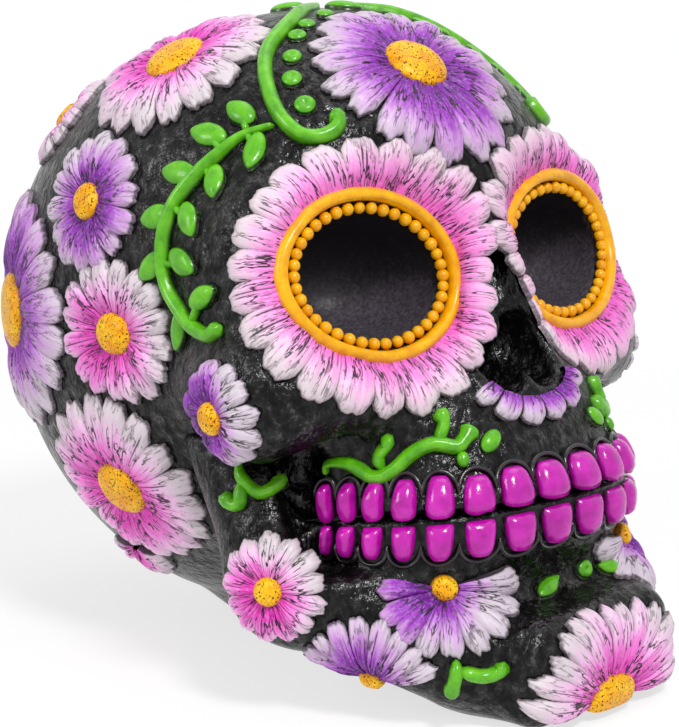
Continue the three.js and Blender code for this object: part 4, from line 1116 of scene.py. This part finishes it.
MAXILLA_STEMS = [
    [(-36.8, -34.6, 50.1), (-35.5, -34.7, 53.1), (-34.8, -39, 53.3), (-35.1, -45.1, 51), (-33.4, -48.5, 52.3),
     (-30.3, -51.1, 56), (-27.2, -54, 58), (-24.1, -57.5, 57.5), (-22.5, -58, 58.6), (-19.6, -58.1, 61.2)],
    [(-34.2, -47, 52.2), (-32.9, -45.1, 55), (-31.2, -45.6, 58), (-31.3, -43.9, 59.6)],
    [(-27.2, -54, 58), (-26.3, -54.5, 58.6), (-24.3, -54.1, 62), (-24.4, -52, 64.2)],
]
RAMUS_STEMS = [
    [(-51.5, -21.9, 53.8), (-52, -23.7, 50), (-50.4, -27.4, 47.2), (-46.4, -28.5, 48.8),
     (-45.8, -27.5, 50.2)],
    [(-52, -23.7, 50), (-53.4, -24.5, 44.9), (-54.1, -22.2, 45.2), (-54, -21.3, 47.2)],
]
JAW_STEMS = [
    [(-33.5, -66.5, 16.8), (-33.5, -66.5, 13), (-32.6, -64.2, 8.2)],
    [(-33.5, -66.5, 13), (-32.9, -67.9, 13.8), (-30.9, -71.7, 12.6), (-29.1, -74.1, 13.8),
     (-28.4, -74.4, 16)],
]
CHIN_MARKS = [
    dict(centre=(-4, -64, 24.2), ahead=(0.8, 0, 0.5), length=9.2, width=4.8, point=0.6),
    dict(centre=(9, -63.8, 26.3), ahead=(1, 0, 0), length=4.8, width=4.8, height=1.3, pit=0.6),
    dict(centre=(16.4, -66.2, 25.7), ahead=(-0.8, 0, 0.5), length=7.4, width=4.2, point=0.6),
]


def vines(word, side):
    temple = Piece()
    places, ways = stem(temple, TEMPLE_STEM, side, width=3.3, curl=1.25)
    leaves_along(temple, places, ways, TEMPLE_LEAVES, side)
    temple.make(f"temple_vine_{word}", "green_paint", GREEN)

    brow = Piece()
    stem(brow, BROW_STEM, side, width=3.4, curl=1.35)
    for n, dot in enumerate(BROW_DOTS):
        size = 3.9 + 0.16 * n
        pad(brow, mirrored(dot, side), (0, -1, 0.3), size, size, height=1.2, pit=0.5)
    if side > 0:
        for leaf in TOP_LEAVES:
            pad(brow, leaf, (0.6, -0.8, 0), 8.5, 4.6, point=0.4)
    brow.make(f"brow_scroll_{word}", "green_paint", GREEN)

    maxilla = Piece()
    for points, width in zip(MAXILLA_STEMS, (3.3, 2.8, 2.8)):
        stem(maxilla, points, side, width, curl=1.5)
    pad(maxilla, mirrored((-17.2, -60.9, 58.2), side), mirrored((1, 0.2, 0.6), side), 6.2, 4)
    pad(maxilla, mirrored((-23.9, -59.3, 55.2), side), UPWARD, 3.6, 2.8)
    maxilla.make(f"maxilla_scroll_{word}", "green_paint", GREEN)

    jaw = Piece()
    for points in RAMUS_STEMS + JAW_STEMS:
        stem(jaw, points, side, width=3.0, curl=1.3)
    jaw.make(f"jaw_scrolls_{word}", "green_paint", GREEN, replaces=False)


def chin_marks():
    piece = Piece()
    for mark in CHIN_MARKS:
        pad(piece, **mark)
    piece.make("chin_marks", "green_paint", GREEN, replaces=False)


def gum_ridges():
    """The raised black line that arches round the root of each tooth."""
    piece = Piece()
    swing = np.linspace(-1.5, 1.5, 9)
    for way, length, field in ((1, 10.2, cranium_skin), (-1, 9.2, lower_gum)):
        for hand, middle, half, _ in each_tooth():
            turn = middle + half * np.sin(swing)
            s, f = arch_point(turn)
            tall = tooth_height(length, turn) * (0.5 + 0.64 * np.cos(swing) ** 0.7)
            z = bite_level(f) - TOOTH_DROP + way * tall
            stem(piece, np.stack([s * hand, -f, z], -1), 1, RIDGE_WIDTH, tip=0.7, field=field)
    piece.make("gum_ridges", "black_resin", RIDGE, replaces=False)


for word, side in SIDES:
    vines(word, side)
chin_marks()
gum_ridges()


# Castings.
NET = 1.25
NET_SLOPE = 0.3
SLABS = 12
SHADE_REACH = 2.0
EDGE_SINK = 0.35
EDGE_REACH = 1.1


def surface_net(form, reach, low, high):
    """Quads over the zero level of a field, symmetric in x, with one corner in each crossed cell.

    The net goes as far as reach to both sides, and from low to high in y and z.
    """
    half = np.arange(0, reach + NET, NET)
    ys = np.arange(low[0], high[0] + NET, NET)
    zs = np.arange(low[1], high[1] + NET, NET)
    slabs = [form(*np.meshgrid(half, -ys, slab, indexing="ij")) for slab in np.array_split(zs, SLABS)]
    part = np.concatenate(slabs, 2)
    values = np.concatenate([part[:0:-1], part])
    inside = values < 0
    axes = np.eye(3, dtype=int)
    corners = list(np.ndindex(2, 2, 2))
    x, y, z = shape = np.array(values.shape) - 1
    total = sum(inside[a:x + a, b:y + b, c:z + c].astype(np.int8) for a, b, c in corners)
    cells = np.argwhere((total > 0) & (total < len(corners)))
    number = np.full(shape, -1)
    number[tuple(cells.T)] = np.arange(len(cells))
    found, count = np.zeros((len(cells), 3)), np.zeros(len(cells))
    for corner in corners:
        for axis in np.flatnonzero(np.equal(corner, 0)):
            start = values[tuple((cells + corner).T)]
            end = values[tuple((cells + corner + axes[axis]).T)]
            cut = (start < 0) != (end < 0)
            share = np.where(cut, start / np.where(cut, start - end, 1), 0)
            found += (corner + np.outer(share, axes[axis])) * cut[:, None]
            count += cut
    points = np.array([-half[-1], ys[0], zs[0]]) + (cells + found / count[:, None]) * NET
    quads = []
    for axis in range(3):
        flips = np.argwhere(np.diff(inside, axis=axis))
        p, q = axes[(axis + 1) % 3], axes[(axis + 2) % 3]
        ring = np.stack([number[tuple((flips + step).T)] for step in (-p - q, -q, 0 * p, -p)], -1)
        out = ~inside[tuple(flips.T)]
        ring[out] = ring[out, ::-1]
        quads.append(ring)
    return points, np.concatenate(quads)


def outline_tree():
    points = np.concatenate(outlines)
    tree = KDTree(len(points))
    for n, point in enumerate(points):
        tree.insert(point, n)
    tree.balance()
    return tree


def casting(name, form, tree, reach, low, high):
    """A casting, sunk a little along the edges of the ornament, and darkened with painted shade along them
    and in its furrows.
    """
    points, faces = surface_net(form, reach, low, high)
    field = over_points(form)
    points = settle(points, field, turns=2, least=NET_SLOPE, limit=NET / 2)
    points[:, 2] = np.maximum(points[:, 2], 0)
    away = np.array([tree.find(p)[2] for p in points])
    s, f, z = np.abs(points[:, 0]), -points[:, 1], points[:, 2]
    furrow = np.minimum(channel_form(s, f, z), nose_form(s, f, z))
    # Painted shade, strongest along the edges of the ornament and filling the furrows.
    painted_shade = np.maximum(np.exp(-((away / SHADE_REACH) ** 2)), 1 - smooth(-1.0, 1.5, furrow))
    cavity = 1 - smooth(-0.4, 1.2, socket_form(s, f, z))
    sink = EDGE_SINK * np.exp(-((away / EDGE_REACH) ** 2))
    points = points - normal_on(points, field) * sink[:, None]
    points[:, 2] = np.maximum(points[:, 2], 0)
    piece = Piece()
    piece.add(points, faces, {"painted_shade": painted_shade, "cavity": cavity})
    piece.make(name, "black_resin", RESIN)


edges = outline_tree()
casting("cranium", cranium_body, edges, reach=64, low=(-76, -3), high=(90, 150))
casting("lower_jaw", jaw_body, edges, reach=60, low=(-84, -3), high=(12, 74))


# Studio. Lengths are metres, and directions are degrees round from the face and up.
FLOOR_HALF = 2
FLOOR_DROP = 0.0002
FLOOR_FADE = (0.16, 0.42)
FLOOR_GLOW = 0.7
FLOOR_GREY = (0.33, 0.33, 0.33, 1)
WHITE = (1, 1, 1, 1)
SKY_LIGHT = 0.36
SKY_SEEN = 1.0
LAMP_TARGET = (0, 0, 0.07)
CAMERA_TARGET = (0, SHIFT[1] * MM, 0.064)
CAMERA_LENS = 99.04
SENSOR_WIDTH = 36


def studio_floor():
    """A white floor that takes a soft shadow and fades into the sky."""
    n = FLOOR_HALF
    mesh = bpy.data.meshes.new("floor")
    mesh.from_pydata([(-n, -n, 0), (n, -n, 0), (n, n, 0), (-n, n, 0)], [], [(0, 1, 2, 3)])
    floor = bpy.data.objects.new("floor", mesh)
    floor.location = (0, 0, -FLOOR_DROP)
    bpy.context.scene.collection.objects.link(floor)
    paint = Paint("studio_floor")
    paint.tree.nodes.remove(paint.shader)
    away = paint.add("ShaderNodeVectorMath", {"operation": "LENGTH"}, "Value", i0=paint.place)
    white = paint.add("ShaderNodeEmission", Color=WHITE, Strength=FLOOR_GLOW)
    matt = paint.add("ShaderNodeBsdfDiffuse", Color=FLOOR_GREY)
    lit = paint.add("ShaderNodeAddShader", i0=white, i1=matt)
    clear = paint.add("ShaderNodeBsdfTransparent")
    surface = paint.add("ShaderNodeMixShader", i0=away.band(*FLOOR_FADE), i1=lit, i2=clear)
    paint.put(paint.tree.nodes["Material Output"].inputs["Surface"], surface)
    mesh.materials.append(paint.material)


def looking(name, data, azimuth, elevation, distance, target):
    """A lamp or a camera that looks at a target from a direction."""
    a, e = radians(azimuth), radians(elevation)
    back = Vector((sin(a) * cos(e), -cos(a) * cos(e), sin(e)))
    made = bpy.data.objects.new(name, data)
    made.location = Vector(target) + back * distance
    made.rotation_mode = "QUATERNION"
    made.rotation_quaternion = (-back).to_track_quat("-Z", "Y")
    bpy.context.scene.collection.objects.link(made)
    return made


def lamp(name, azimuth, elevation, distance, size, power):
    data = bpy.data.lights.new(name, "AREA")
    data.shape = "DISK"
    data.size = size
    data.energy = power
    looking(name, data, azimuth, elevation, distance, LAMP_TARGET)


def sky():
    """A white world, weaker as light on matt surfaces than it is seen or reflected."""
    world = bpy.data.worlds.new("studio")
    world.use_nodes = True
    nodes = Nodes(world.node_tree)
    seen, glossy, passed = [nodes.add("ShaderNodeLightPath", output=f"Is {kind} Ray")
                            for kind in ("Camera", "Glossy", "Transmission")]
    shown = seen.most(glossy).most(passed)
    strength = nodes.add("ShaderNodeMapRange", i0=shown, i3=SKY_LIGHT, i4=SKY_SEEN)
    background = nodes.tree.nodes["Background"]
    nodes.put(background.inputs["Strength"], strength)
    nodes.put(background.inputs["Color"], WHITE)
    bpy.context.scene.world = world


def camera():
    data = bpy.data.cameras.new("photo_view")
    data.lens = CAMERA_LENS
    data.sensor_width = SENSOR_WIDTH
    data.clip_start = 0.01
    view = looking("photo_view", data, azimuth=-45, elevation=10.5, distance=0.461, target=CAMERA_TARGET)
    bpy.context.scene.camera = view


studio_floor()
lamp("key", azimuth=-24, elevation=46, distance=0.9, size=0.2, power=5.5)
lamp("fill", azimuth=-105, elevation=25, distance=1.0, size=0.4, power=3.0)
lamp("top", azimuth=90, elevation=75, distance=0.9, size=0.7, power=1.6)
sky()
camera()
bpy.context.scene.view_settings.view_transform = "Standard"

bpy.context.view_layer.update()
